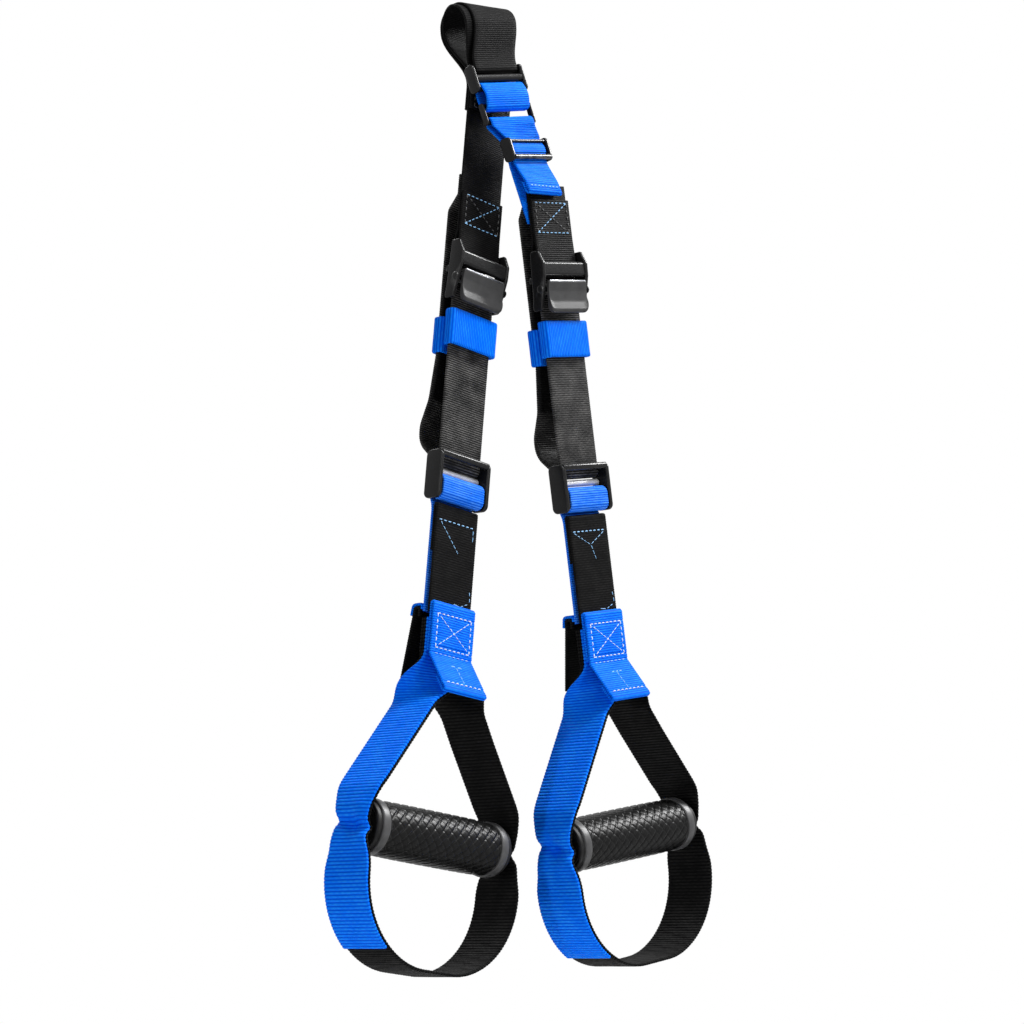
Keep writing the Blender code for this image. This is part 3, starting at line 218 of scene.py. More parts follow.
def turned(matrix, direction):
    return matrix.to_3x3() @ direction


def slanted(share, level=0.0):
    """A shear to the side, by a share of the distance from a level."""
    made = Matrix.Identity(4)
    made[0][2], made[0][3] = -share, share * level
    return made


CHAIN = axes(CHAIN_START, *CHAIN_TURN)
LEGS = {"left": axes(LEFT_CAM, LEFT_LEAN), "right": axes(RIGHT_CAM, RIGHT_LEAN)}
RING_CENTRE = -BUCKLE_BAR_OFFSET - LINK_LENGTH - RING_BAR_OFFSET
SLIDE_AT = CHAIN @ Vector((SLIDE_SHIFT, 0.0, RING_CENTRE - RING_BAR_OFFSET - SLIDE_DROP))
SLIDE = axes(SLIDE_AT, CHAIN_TURN[0], CHAIN_TURN[1], SLIDE_YAW)
LAYERS_BEHIND = {"left": 1, "right": 2}
STRAP_TOP = {"left": -LEFT_CAM[2] - LOOP_JOIN_DROP, "right": PATCH_TOP + REAR_LAP}


def rounded_route(corners, closed=False, step=ARC_STEP):
    """Points of a polyline whose corners (a, b, radius) are arcs."""
    count = len(corners)
    points = []
    for i, (a, b, radius) in enumerate(corners):
        here = Vector((a, b))
        if not closed and i in (0, count - 1) or radius == 0:
            points.append(here)
            continue
        back = (Vector(corners[i - 1][:2]) - here).normalized()
        ahead = (Vector(corners[(i + 1) % count][:2]) - here).normalized()
        half = back.angle(ahead) / 2
        if math.pi / 2 - half < math.radians(1.0):
            points.append(here)
            continue
        centre = here + (back + ahead).normalized() * (radius / math.sin(half))
        start = here + back * (radius / math.tan(half)) - centre
        sweep = math.pi - 2 * half
        if start.y * back.x - start.x * back.y < 0:
            sweep = -sweep
        steps = max(2, math.ceil(abs(math.degrees(sweep)) / step))
        for k in range(steps + 1):
            angle = sweep * k / steps
            c, s = math.cos(angle), math.sin(angle)
            points.append(centre + Vector((start.x * c - start.y * s, start.x * s + start.y * c)))
    return [p for i, p in enumerate(points) if i == 0 or (p - points[i - 1]).length > GAP / 30]


def stations_from(matrix, corners, closed=False):
    """Stations (centre, across, width) of a route drawn in the (y, z) plane of some axes."""
    across = turned(matrix, ACROSS)
    return [(matrix @ Vector((0.0, *spot)), across, WEB_WIDTH)
            for spot in rounded_route(corners, closed)]


def straight(matrix, y, start, end):
    return stations_from(matrix, [(y, start, 0.0), (y, end, 0.0)])


def round_bar(wrap, end, turn):
    """A route round a bar, from the front to the back."""
    return [(-wrap, end, 0.0), (-wrap, turn, wrap), (wrap, turn, wrap), (wrap, end, 0.0)]


def blend_stations(last, before, first, after, pull=1.0):
    """Stations between two straight strap ends, on a smooth curve that joins them. A small pull
    keeps the curve taut."""
    span = (first[0] - last[0]).length
    reach = span * pull
    lead_in = (last[0] - before[0]).normalized() * reach
    lead_out = (after[0] - first[0]).normalized() * reach
    count = max(2, math.ceil(span / BLEND_STEP))
    made = []
    for k in range(1, count):
        t = k / count
        centre = (last[0] * (2 * t ** 3 - 3 * t ** 2 + 1) + lead_in * (t ** 3 - 2 * t ** 2 + t)
                  + first[0] * (3 * t ** 2 - 2 * t ** 3) + lead_out * (t ** 3 - t ** 2))
        made.append((centre, last[1].lerp(first[1], t), last[2] + (first[2] - last[2]) * t))
    return made


def chained(runs, pull=1.0):
    """The runs of stations one after another, with a smooth curve across each gap."""
    made = list(runs[0])
    for run in runs[1:]:
        made += blend_stations(made[-1], made[-2], run[0], run[1], pull) + run
    return made


class Path:
    """A strap's middle line at an even spacing, with its directions and its distance along."""

    def __init__(self, stations, pitch, closed):
        centre = np.array([s[0][:] for s in stations])
        across = np.array([s[1][:] for s in stations])
        width = np.array([[s[2]] for s in stations])
        if closed:
            centre, across, width = (np.vstack((v, v[:1])) for v in (centre, across, width))
        pieces = np.linalg.norm(np.diff(centre, axis=0), axis=1)
        travelled = np.concatenate(([0.0], np.cumsum(pieces)))
        self.length = travelled[-1]
        self.closed = closed
        ribs = max(2, round(self.length / pitch))
        wanted = np.linspace(0.0, self.length, ribs * ROWS_PER_RIB + 1)
        self.pitch = self.length / ribs
        if closed:
            wanted = wanted[:-1]
        self.along = wanted
        self.centre = self.spread(centre, travelled, wanted)
        self.across = unit(self.spread(across, travelled, wanted))
        self.width = self.spread(width, travelled, wanted)[:, 0]
        self.ahead = unit(self.slope(self.centre))
        self.normal = unit(np.cross(self.across, self.ahead))

    @staticmethod
    def spread(values, travelled, wanted):
        return np.stack([np.interp(wanted, travelled, column) for column in values.T], axis=1)

    def slope(self, values):
        if self.closed:
            return np.roll(values, -2, axis=0) - np.roll(values, 2, axis=0)
        padded = np.vstack((2 * values[0] - values[2], 2 * values[0] - values[1], values,
                            2 * values[-1] - values[-2], 2 * values[-1] - values[-3]))
        return padded[4:] - padded[:-4]

    def spot(self, along, share):
        """A point on the strap's outer face, and the face's direction there."""
        middle, across, normal = (self.spread(values, self.along, [along])[0]
                                  for values in (self.centre, self.across, self.normal))
        width = np.interp(along, self.along, self.width)
        normal = unit(normal)
        return middle + across * (share * width / 2) + normal * (WEB_THICK / 2), normal


def unit(values):
    return values / np.linalg.norm(values, axis=-1, keepdims=True)


def eased(share):
    share = np.clip(share, 0.0, 1.0)
    return share * share * (3 - 2 * share)


# Meshes

def quads(grid):
    """The values of a grid of rings at the four corners of each face."""
    here, there = grid[:-1], grid[1:]
    corners = (here, np.roll(here, -1, axis=1), np.roll(there, -1, axis=1), there)
    return np.stack(corners, axis=-1).reshape(-1, 4)


def ring_mesh(name, points, along, over, closed):
    """A mesh of rings, points[row, column], closed round each ring and capped at open ends.
    Its UV holds the distance over the strap and along it, in metres."""
    rows, columns, _ = points.shape
    index = np.arange(rows * columns).reshape(rows, columns)
    if closed:
        index, over = (np.vstack((grid, grid[:1])) for grid in (index, over))
        along = np.append(along, along[-1] + (along[1] - along[0]))
    faces = quads(index)
    uv = np.stack((quads(over), quads(np.repeat(along[:, None], columns, axis=1))), axis=-1)
    uv = uv.reshape(-1, 2)
    polygons = faces.tolist()
    if not closed:
        polygons += [index[0][::-1].tolist(), index[-1].tolist()]
        caps = ((over[0][::-1], along[0]), (over[-1], along[-1]))
        uv = np.vstack([uv] + [np.column_stack((u, np.full(columns, v))) for u, v in caps])
    mesh = bpy.data.meshes.new(name)
    mesh.from_pydata(points.reshape(-1, 3).tolist(), [], polygons)
    layer = mesh.uv_layers.new(name="weave")
    layer.data.foreach_set("uv", uv.astype(np.float32).ravel())
    if signed_volume(points.reshape(-1, 3), faces) < 0:
        mesh.flip_normals()
    return mesh


def signed_volume(points, faces):
    a, b, c, d = (points[faces[:, k]] for k in range(4))
    halves = np.cross(a, b) * c + np.cross(a, c) * d
    return halves.sum() / 6


def spread_over(size, columns, rows):
    return np.repeat(np.linspace(0.0, size, columns)[None], rows, axis=0)


def placed(name, data):
    item = bpy.data.objects.new(name, data)
    bpy.context.scene.collection.objects.link(item)
    return item


def as_object(mesh, finish, sharp, matrix=None):
    if matrix is not None:
        mesh.transform(matrix)
    mesh.materials.clear()
    mesh.materials.append(finish)
    mesh.shade_smooth()
    mesh.set_sharp_from_angle(angle=math.radians(sharp))
    return placed(mesh.name, mesh)


def dress(item, body, nodes=(), slot=None):
    """The piece moves with its body and stands for its CAD nodes. Its slot is not used."""
    if body:
        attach(item, body)
    if nodes:
        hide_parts(*nodes)
    return item


def section(thick, columns):
    """A strap's section as across shares, distances past the flat face, and heights."""
    flat = np.linspace(-1.0, 1.0, columns)
    turn = np.radians((45.0, 0.0, -45.0))
    none = np.zeros(columns)
    past, rise = thick / 2 * np.cos(turn), thick / 2 * np.sin(turn)
    share = np.concatenate((flat, np.ones(3), flat[::-1], -np.ones(3)))
    height = np.concatenate((none + thick / 2, rise, none - thick / 2, rise[::-1]))
    return share, np.concatenate((none, past, none, -past[::-1])), height


def woven(name, stations, kind, closed=False, thick=WEB_THICK, pitch=RIB_PITCH, warp=None,
          columns=FACE_COLUMNS, rib=RIB_HEIGHT):
    """A ribbed strap along its stations. warp gives how far each point stands off the route."""
    path = Path(stations, pitch, closed)
    share, past, height = section(thick, columns)
    half = path.width[:, None] / 2 - thick / 2
    over = share[None] * half + past[None]
    ridge = np.abs(np.sin(math.pi * path.along / path.pitch)) ** 0.7
    wobble = 1 + 0.25 * np.sin(path.along[:, None] * 900 + share[None] * 4)
    relief = rib * (ridge[:, None] - 0.5) * 2 * wobble
    level = height[None] + np.sign(height[None]) * relief * (np.abs(share[None]) < 1.01)
    bead = rib * ridge[:, None] * (np.abs(past[None]) > 0) * np.sign(share[None])
    if warp is not None:
        level = level + warp(path, share[None])
    points = (path.centre[:, None] + path.across[:, None] * (over + bead)[..., None]
              + path.normal[:, None] * level[..., None])
    mesh = ring_mesh(name, points, path.along, over + WEB_WIDTH / 2, closed)
    return as_object(mesh, webbing(kind, path.pitch), WEB_SHARP), path


def strap(name, nodes, body, stations, kind, **shape):
    """A woven piece that stands for CAD nodes. Without a body, it is left unattached."""
    item, path = woven(f"{name}_webbing", stations, kind, **shape)
    return dress(item, body, nodes, WEB_LOOKS[kind][-1]), path


def quarter(edge):
    """A rounded edge, from its side to its end, as (distance from the end, inset) pairs."""
    return [(edge * (1 - math.sin(t)), edge * (1 - math.cos(t)))
            for t in np.linspace(0.0, math.pi / 2, 5)]


def rounded_prism(outline, x_low, x_high, edge):
    """A (y, z) outline made solid between two x values, with round edges at both ends."""
    flat = np.array([tuple(p) for p in outline])
    after = np.roll(flat, -1, axis=0)
    ahead = unit(after - np.roll(flat, 1, axis=0))
    outward = np.stack((ahead[:, 1], -ahead[:, 0]), axis=1)
    if np.sum(flat[:, 0] * after[:, 1] - after[:, 0] * flat[:, 1]) < 0:
        outward = -outward
    spans = [(x_low + past, inset) for past, inset in reversed(quarter(edge))]
    spans += [(x_high - past, inset) for past, inset in quarter(edge)]
    points = np.array([np.column_stack((np.full(len(flat), x), flat - outward * inset))
                       for x, inset in spans])
    steps = np.maximum(1e-5, np.abs(np.diff([x for x, _ in spans])))
    along = np.concatenate(([0.0], np.cumsum(steps)))
    return ring_mesh("prism", points, along, spread_over(0.02, len(flat), len(spans)), False)


def turned_mesh(name, profile, sides, relief=None):
    """A round piece about X from (x, radius) points. relief(x, angle, radius) is added to the
    radius."""
    x, radius = np.array(profile).T
    angle = np.linspace(0.0, 2 * math.pi, sides, endpoint=False)
    reach = np.repeat(radius[None], sides, axis=0)
    if relief is not None:
        reach = reach + relief(x[None], angle[:, None], radius[None])
    points = np.stack((np.repeat(x[None], sides, axis=0), reach * np.cos(angle)[:, None],
                       reach * np.sin(angle)[:, None]), axis=-1)
    walked = np.concatenate(([0.0], np.cumsum(np.hypot(np.diff(x), np.diff(radius)))))
    over = np.repeat(walked[None], sides, axis=0)
    mesh = ring_mesh(name, points, angle * radius.max(), over, True)
    return mesh if radius.min() > 0 else faced_outward(mesh, 1e-6)


def waves(depth, count, rate, above):
    """A relief of ridges round and along a turned piece, where its radius is above a value."""
    def relief(x, angle, radius):
        return -depth * (0.5 + 0.5 * np.cos(angle * count + x * rate)) * (radius > above)
    return relief


def faced_outward(mesh, weld=None):
    """The mesh with its normals outward, and with points nearer than weld joined."""
    build = bmesh.new()
    build.from_mesh(mesh)
    if weld:
        bmesh.ops.remove_doubles(build, verts=build.verts, dist=weld)
        bmesh.ops.dissolve_degenerate(build, edges=build.edges, dist=weld)
    bmesh.ops.recalc_face_normals(build, faces=build.faces)
    build.to_mesh(mesh)
    build.free()
    return mesh


def mirrored(profile):
    return [(-x, radius) for x, radius in reversed(profile)]


def rod(y, z, radius, reach, start=None):
    """A round bar along X with eased ends, from -reach or the given start to reach."""
    start, ease = -reach if start is None else start, radius * 0.12
    profile = [(start, 0.0), (start, radius - ease), (start + ease, radius),
               (reach - ease, radius), (reach, radius - ease), (reach, 0.0)]
    mesh = turned_mesh("rod", profile, 40)
    mesh.transform(Matrix.Translation((0.0, y, z)))
    return mesh


def combined(base, others, how="UNION"):
    """The base mesh with the others joined to it or cut from it."""
    item = placed("base", base)
    tools = [placed("tool", other) for other in others]
    for tool in tools:
        step = item.modifiers.new(how, "BOOLEAN")
        step.operation, step.solver, step.object = how, "EXACT", tool
    bpy.context.view_layer.update()
    view = item.evaluated_get(bpy.context.evaluated_depsgraph_get())
    made = bpy.data.meshes.new_from_object(view)
    for used in tools + [item]:
        bpy.data.objects.remove(used, do_unlink=True)
    return made


def box_outline(front, back, bottom, top, radius):
    corners = ((front, bottom), (back, bottom), (back, top), (front, top))
    return rounded_route([(*corner, radius) for corner in corners], True)


def flat_bar(front, back, bottom, top, radius, reach):
    return rounded_prism(box_outline(front, back, bottom, top, radius), -reach, reach, BAR_EDGE)


def framed(outline, thick, bars, edge=PLATE_EDGE):
    """Two plates of one outline, outside the strap's width, with bars between them."""
    right = rounded_prism(outline, INNER_HALF, INNER_HALF + thick, edge)
    left = rounded_prism(outline, -INNER_HALF - thick, -INNER_HALF, edge)
    return combined(right, bars + [left])


# Materials

class Graph:
    """A node tree, with short ways to add nodes. A value is a number, a colour or a socket."""

    def __init__(self, tree):
        self.tree = tree

    def put(self, slot, value):
        if isinstance(value, bpy.types.NodeSocket):
            self.tree.links.new(value, slot)
        else:
            slot.default_value = (*value, 1.0) if isinstance(value, tuple) else value

    def add(self, kind, inputs=(), **settings):
        """The outputs of a new node."""
        made = self.tree.nodes.new(f"ShaderNode{kind}")
        for key, value in settings.items():
            setattr(made, key, value)
        for key, value in dict(inputs).items():
            self.put(made.inputs[key], value)
        return made.outputs

    def math(self, how, *values):
        return self.add("Math", enumerate(values), operation=how)[0]

    def product(self, a, b):
        return self.math("MULTIPLY", a, b)

    def total(self, a, b):
        return self.math("ADD", a, b)

    def ripple(self, value, rate):
        return self.math("ABSOLUTE", self.math("SINE", self.product(value, rate)))

    def mix(self, share, first, second):
        return self.add("Mix", {"Factor": share, 6: first, 7: second}, data_type="RGBA")[2]

    def noise(self, vector, scale, detail, roughness):
        return self.add("TexNoise", {"Vector": vector, "Scale": scale, "Detail": detail,
                                     "Roughness": roughness})["Fac"]

    def ranged(self, value, low, high, to_low=0.0, to_high=1.0):
        return self.add("MapRange", {"Value": value, "From Min": low, "From Max": high,
                                     "To Min": to_low, "To Max": to_high})[0]


class Look(Graph):
    """A material with one principled shader."""

    def __init__(self, name):
        self.made = bpy.data.materials.new(name)
        self.made.use_nodes = True
        super().__init__(self.made.node_tree)

    def place(self):
        return self.add("TexCoord")["Object"]

    # A mask of the sharp edges, which are painted pale: partly wear, partly painted highlight.
    def edge_wear_and_highlight(self, high):
        return self.ranged(self.add("NewGeometry")["Pointiness"], 0.53, high)

    def finished(self, inputs, bump=()):
        """The material. The bump is its height, strength and distance."""
        if bump:
            bump = zip(("Height", "Strength", "Distance"), bump)
            inputs = {**inputs, "Normal": self.add("Bump", bump)["Normal"]}
        for key, value in inputs.items():
            self.put(self.tree.nodes["Principled BSDF"].inputs[key], value)
        return self.made


# Painted shade colour for the rib valleys, body colour, painted highlight colour for the rib
# crests, roughness, sheen, depth and length of the dashes, slot
WEB_LOOKS = {
    "blue": ((0.0001, 0.060, 0.62), (0.0004, 0.165, 0.98), (0.02, 0.34, 1.0),
             0.5, 0.0, 0.18, 0.0052, "webbing_blue"),
    "band": ((0.0004, 0.050, 0.55), (0.003, 0.175, 0.96), (0.16, 0.46, 1.0),
             0.5, 0.0, 0.12, 0.016, "webbing_blue"),
    "black": ((0.0018, 0.0018, 0.002), (0.0045, 0.0045, 0.0047), (0.026, 0.0255, 0.025),
              0.46, 0.01, 0.15, 0.0052, "webbing_black"),
    "grey": ((0.003, 0.003, 0.0033), (0.020, 0.020, 0.0203), (0.21, 0.205, 0.20),
             0.42, 0.02, 0.12, 0.0052, "webbing_black"),
}
made_webbing = {}


def webbing(kind, pitch):
    """The material of a kind of webbing. Straps with ribs of about one pitch share it."""
    key = (kind, round(pitch * 1e5))
    if key not in made_webbing:
        made_webbing[key] = webbing_material(kind, pitch)
    return made_webbing[key]


def webbing_material(kind, pitch):
    """Ribbed webbing: rows of yarn that pass over and under, and fine threads across them. The
    valleys between the ribs get painted shade and the rib crests a painted highlight.
    """
    dark, body, light, roughness, sheen, dashes, brick, _ = WEB_LOOKS[kind]
    look = Look(f"webbing_{kind}_{round(pitch * 1e5)}")
    place = look.place()
    over, along, _ = look.add("SeparateXYZ", {0: look.add("UVMap", uv_map="weave")["UV"]})
    row = look.math("DIVIDE", along, pitch)
    ridge = look.math("POWER", look.ripple(row, math.pi), 0.7)
    stagger = look.product(look.math("FLOOR", row), math.pi)
    wave = look.math("SINE", look.total(look.product(over, 2 * math.pi / brick), stagger))
    wave = look.ranged(wave, -1.0, 1.0)
    yarn = look.ripple(over, math.pi / YARN_PITCH)
    patchy = look.noise(place, 90.0, 3.0, 0.6)
    grain = look.noise(place, 2600.0, 2.0, 0.7)
    lit = look.product(ridge, look.ranged(wave, 0.0, 1.0, 1.0 - dashes, 1.0))
    lit = look.product(lit, look.ranged(patchy, 0.3, 0.7, 0.6, 1.0))
    # Painted shade: the colour goes from the body colour on the rib crests to the dark colour in
    # the valleys between the ribs.
    colour = look.mix(look.ranged(ridge, 0.1, 0.85), dark, body)
    # Painted highlight: the rib crests, broken into dashes and patches, go toward the light
    # colour.
    colour = look.mix(look.ranged(lit, 0.5, 1.0, 0.0, 0.7), colour, light)
    colour = look.mix(look.ranged(grain, 0.35, 0.75, 0.0, 0.22), colour, dark)
    height = look.product(ridge, look.ranged(wave, 0.0, 1.0, 1.0 - 0.6 * dashes, 1.0))
    height = look.total(height, look.product(yarn, 0.3))
    height = look.total(height, look.product(grain, 0.4))
    return look.finished({
        "Base Color": colour, "Specular IOR Level": 0.02, "Sheen Weight": sheen,
        "Roughness": look.ranged(grain, 0.3, 0.7, roughness - 0.1, roughness + 0.12),
        "Sheen Roughness": 0.45, "Sheen Tint": light}, (height, 0.5, 0.00020))


def metal_finish(name, colour, roughness, metallic, wear_and_highlight, specular=0.5):
    """Coated or bare metal: faint mottling, fine drawn lines, and pale sharp edges that are partly
    wear and partly painted highlight.
    """
    look = Look(name)
    place = look.place()
    drawn = look.add("Mapping", {"Vector": place, "Scale": Vector((0.08, 1.0, 1.0))})[0]
    lines = look.noise(drawn, 4200.0, 3.0, 0.65)
    cloud = look.noise(place, 140.0, 4.0, 0.6)
    speck = look.noise(place, 5200.0, 1.0, 0.5)
    # Pale sharp edges: partly wear, partly painted highlight on the rims.
    wear_and_highlight_share = look.product(look.edge_wear_and_highlight(0.62), look.ranged(cloud, 0.35, 0.6))
    darker = tuple(channel * 0.72 for channel in colour)
    tone = look.mix(look.ranged(cloud, 0.3, 0.7), darker, colour)
    height = look.total(look.product(lines, 0.6), look.product(speck, 0.5))
    return look.finished({
        "Base Color": look.mix(look.product(wear_and_highlight_share, 0.6), tone, wear_and_highlight), "Metallic": metallic,
        "Roughness": look.ranged(lines, 0.3, 0.7, roughness - 0.07, roughness + 0.1),
        "Specular IOR Level": specular}, (height, 0.3, 0.00003))


def rubber_finish():
    """Grip rubber: matt, and pale on the ridges, partly as wear and partly as painted highlight.
    """
    look = Look("grip_rubber")
    place = look.place()
    cloud = look.ranged(look.noise(place, 120.0, 4.0, 0.6), 0.3, 0.7)
    fine = look.noise(place, 3200.0, 2.0, 0.6)
    tone = look.mix(cloud, (0.003, 0.003, 0.0031), (0.007, 0.007, 0.007))
    # Painted highlight, partly wear: the ridges go pale.
    tone = look.mix(look.product(look.edge_wear_and_highlight(0.60), 0.6), tone, (0.16, 0.16, 0.158))
    return look.finished({
        "Base Color": tone, "Roughness": look.ranged(fine, 0.3, 0.7, 0.26, 0.38),
        "Specular IOR Level": 0.09}, (fine, 0.35, 0.00006))


def thread_finish(name, colour, dark):
    """Sewing thread: a twist of bright and shaded plies."""
    look = Look(name)
    twist = look.noise(look.place(), 2400.0, 2.0, 0.6)
    tone = look.mix(look.ranged(twist, 0.35, 0.7, 0.0, 0.6), colour, dark)
    return look.finished({"Base Color": tone, "Roughness": 0.5, "Sheen Weight": 0.3},
                         (twist, 0.5, 0.0001))


# Edge colours of the metal finishes: partly wear, partly painted highlight.
WEAR_AND_HIGHLIGHT_DARK, WEAR_AND_HIGHLIGHT_GREY = (0.1, 0.1, 0.1), (0.35, 0.35, 0.35)
HARDWARE = metal_finish("hardware", (0.012, 0.012, 0.0125), 0.24, 0.0, (0.30, 0.30, 0.30), 0.12)
LEVER = metal_finish("lever", (0.045, 0.045, 0.046), 0.34, 0.0, WEAR_AND_HIGHLIGHT_GREY, 0.12)
STEEL = metal_finish("steel", (0.36, 0.37, 0.40), 0.3, 0.9, (0.7, 0.7, 0.72))
SILVER = metal_finish("silver", (0.82, 0.83, 0.86), 0.45, 0.35, (0.9, 0.9, 0.9))
PIN_DARK = metal_finish("pin_dark", (0.010, 0.010, 0.0105), 0.35, 0.0, WEAR_AND_HIGHLIGHT_DARK, 0.15)
RING_GREY = metal_finish("ring_grey", (0.075, 0.075, 0.077), 0.4, 0.1, WEAR_AND_HIGHLIGHT_GREY, 0.25)
CAP_DARK = metal_finish("cap_dark", (0.010, 0.010, 0.0105), 0.45, 0.0, WEAR_AND_HIGHLIGHT_DARK, 0.12)
TUBE = metal_finish("tube_plastic", (0.03, 0.03, 0.032), 0.5, 0.0, WEAR_AND_HIGHLIGHT_DARK, 0.2)
RUBBER = rubber_finish()
SKY_THREAD = thread_finish("thread_light_blue", (0.30, 0.62, 0.95), (0.08, 0.30, 0.70))
WHITE_THREAD = thread_finish("thread_white", (0.85, 0.90, 0.95), (0.45, 0.60, 0.80))
DARK_THREAD = thread_finish("thread_dark", (0.03, 0.03, 0.032), (0.01, 0.01, 0.01))


def hard_piece(name, mesh, matrix, body="straps", finish=HARDWARE, slot="hardware_black"):
    mesh.name = f"{name}_piece"
    return dress(as_object(mesh, finish, HARD_SHARP, matrix), body, [name], slot)


# Stitching

def stitch_rings(spots, normals, radius):
    """One stitch as a rounded strand over its spots, diving into the cloth at both ends."""
    side = unit(np.cross(normals, unit(np.gradient(spots, axis=0))))[:, None]
    hump = np.sin(math.pi * np.linspace(0.0, 1.0, len(spots)))[:, None]
    middle = spots + normals * radius * (1.5 * hump ** 0.5 - 0.75)
    turn = np.linspace(0.0, 2 * math.pi, STITCH_SIDES, endpoint=False)[:, None]
    full = radius * np.maximum(0.25, hump ** 0.35)[..., None]
    return middle[:, None] + (side * np.cos(turn) + normals[:, None] * np.sin(turn)) * full


def sewn(name, rows, finish, body, length=STITCH_LENGTH, space=STITCH_SPACE,
         radius=THREAD_RADIUS):
    """Rows of stitches as one piece. A row is (place, start, end): place(p, q) gives a surface
    point and its normal, and start and end are (p, q) pairs."""
    points, faces = [], []
    pitch = length + space
    for place, start, end in rows:
        start, way = np.array(start), np.array(end) - np.array(start)
        span = np.linalg.norm(place(*(start + way))[0] - place(*start)[0])
        count = max(1, int((span + space) / pitch))
        for k in range(count):
            shares = (k * pitch + np.linspace(0.0, length, STITCH_SPOTS)) / (count * pitch - space)
            found = [place(*(start + way * share)) for share in shares]
            rings = stitch_rings(*(np.array(part) for part in zip(*found)), radius)
            index = np.arange(rings.size // 3).reshape(rings.shape[:2])
            index += len(points) * index.size
            points.append(rings.reshape(-1, 3))
            faces += quads(index).tolist() + [index[0][::-1].tolist(), index[-1].tolist()]
    mesh = bpy.data.meshes.new(f"{name}_stitching")
    mesh.from_pydata(np.vstack(points).tolist(), [], faces)
    return dress(as_object(faced_outward(mesh), finish, THREAD_SHARP), body)


def on_face(matrix, start, along=(0.0, 1.0)):
    """Places (x, distance) on the forward face of a flat strap whose middle runs from start
    in the direction along, both (y, z)."""
    start, along = Vector(start), Vector(along)
    outward = Vector((along.y, -along.x))
    if outward.x > 0:
        outward = -outward
    normal = np.array(turned(matrix, Vector((0.0, *outward))))

    def place(x, distance):
        spot = start + along * distance + outward * (WEB_THICK / 2)
        return np.array(matrix @ Vector((x, *spot))), normal
    return place


def rows_on(place, *lines):
    """Rows from (x, z, x, z) lines."""
    return [(place, line[:2], line[2:]) for line in lines]


def box_rows(place, x, top, bottom):
    """The four sides of a sewn rectangle."""
    corners = [(-x, top), (x, top), (x, bottom), (-x, bottom)]
    return [(place, corners[i - 4], corners[i - 3]) for i in range(4)]


# Anchor loop and the chain that carries the right leg

def loop_arch(radius, first, last, way, aside):
    """One layer of the anchor loop's top, whose across direction goes from first to last."""
    facing = Matrix.Rotation(math.radians(CHAIN_TURN[2]), 3, "Z")
    level = facing @ ACROSS
    made = []
    for k in range(ARCH_STEPS + 1):
        share = k / ARCH_STEPS
        y, z = math.cos(math.pi * share) * way, math.sin(math.pi * share)
        place = facing @ Vector((0.0, y * radius, WEB_THICK / 2 - LOOP_RADIUS + z * radius))
        place += level * (aside * float(eased(ARCH_SPREAD * (share if way > 0 else 1 - share))))
        lean = first.lerp(level, share * 2) if share < 0.5 else level.lerp(last, share * 2 - 1)
        made.append((place, lean, WEB_WIDTH))
    return made


def anchor_loop():
    left = LEGS["left"]
    near_leg = turned(left, ACROSS).lerp(ACROSS, LOOP_LEVEL_SHARE)
    near_bar = turned(CHAIN, ACROSS)
    wrap, bar = BUCKLE_BAR_RADIUS + WALL_FIT, BUCKLE_BAR_OFFSET
    high = STRAP_TOP["left"]
    low = high - LOOP_JOIN_LENGTH
    stations = chained([
        straight(left, 1.5 * LAYER, low, high),
        loop_arch(LOOP_RADIUS + LAYER, near_leg, near_bar, 1, LOOP_ASIDE),
        stations_from(CHAIN, round_bar(wrap, bar + wrap / 2, bar - wrap)),
        loop_arch(LOOP_RADIUS, near_bar, near_leg, -1, -LOOP_ASIDE),
        straight(left, -0.5 * LAYER, high, low)])
    strap("anchor_loop", ["anchor_loop"], "straps", stations, "black", pitch=FINE_PITCH,
          rib=FINE_RIB)
    rows = box_rows(on_face(left, (-0.5 * LAYER, 0.0)), SEAM_HALF, high - SEAM_IN, low + SEAM_IN)
    sewn("anchor_loop", rows, DARK_THREAD, "straps")


def slide_bars():
    top, middle, low = SLIDE_RADII
    return [(-top - WALL_FIT, SLIDE_BAR_PITCH, top), (middle / 2, 0.0, middle),
            (-low - WALL_FIT, -SLIDE_BAR_PITCH, low)]


def chain_hardware():
    buckle = [(-BUCKLE_MAIN_FORWARD, 0.0, BUCKLE_MAIN_RADIUS)]
    buckle += [(0.0, way * BUCKLE_BAR_OFFSET, BUCKLE_BAR_RADIUS) for way in (1, -1)]
    ring = [(0.0, RING_CENTRE + way * RING_BAR_OFFSET, RING_BAR_RADIUS) for way in (1, -1)]
    for name, matrix, centre, size, bars in (
            ("anchor_buckle", CHAIN, 0.0, BUCKLE_PLATE, buckle),
            ("link_ring", CHAIN, RING_CENTRE, RING_PLATE, ring),
            ("strap_slide", SLIDE, 0.0, SLIDE_PLATE, slide_bars())):
        depth, height, thick, round_share, edge = size
        outline = box_outline(-depth / 2, depth / 2, centre - height / 2, centre + height / 2,
                              depth / 2 * round_share)
        reach = INNER_HALF + thick / 2
        mesh = framed(outline, thick, [rod(*bar, reach) for bar in bars], edge)
        hard_piece(name, mesh, matrix)


def link_loop():
    top = -BUCKLE_BAR_OFFSET
    bottom = top - LINK_LENGTH
    wrap = max(BUCKLE_BAR_RADIUS, RING_BAR_RADIUS) + WALL_FIT
    middle, turn = (top + bottom) / 2, wrap * LINK_ROUND
    corners = [(wrap, top + wrap, turn), (-wrap, top + wrap, turn),
               (-wrap - LINK_FRONT_BULGE, middle, LINK_LENGTH),
               (-wrap, bottom - wrap, turn), (wrap, bottom - wrap, turn),
               (wrap + LINK_BACK_BULGE, middle, LINK_LENGTH)]
    strap("link_loop", ["link_loop"], "straps", stations_from(CHAIN, corners, True), "blue",
          closed=True, pitch=FINE_PITCH)


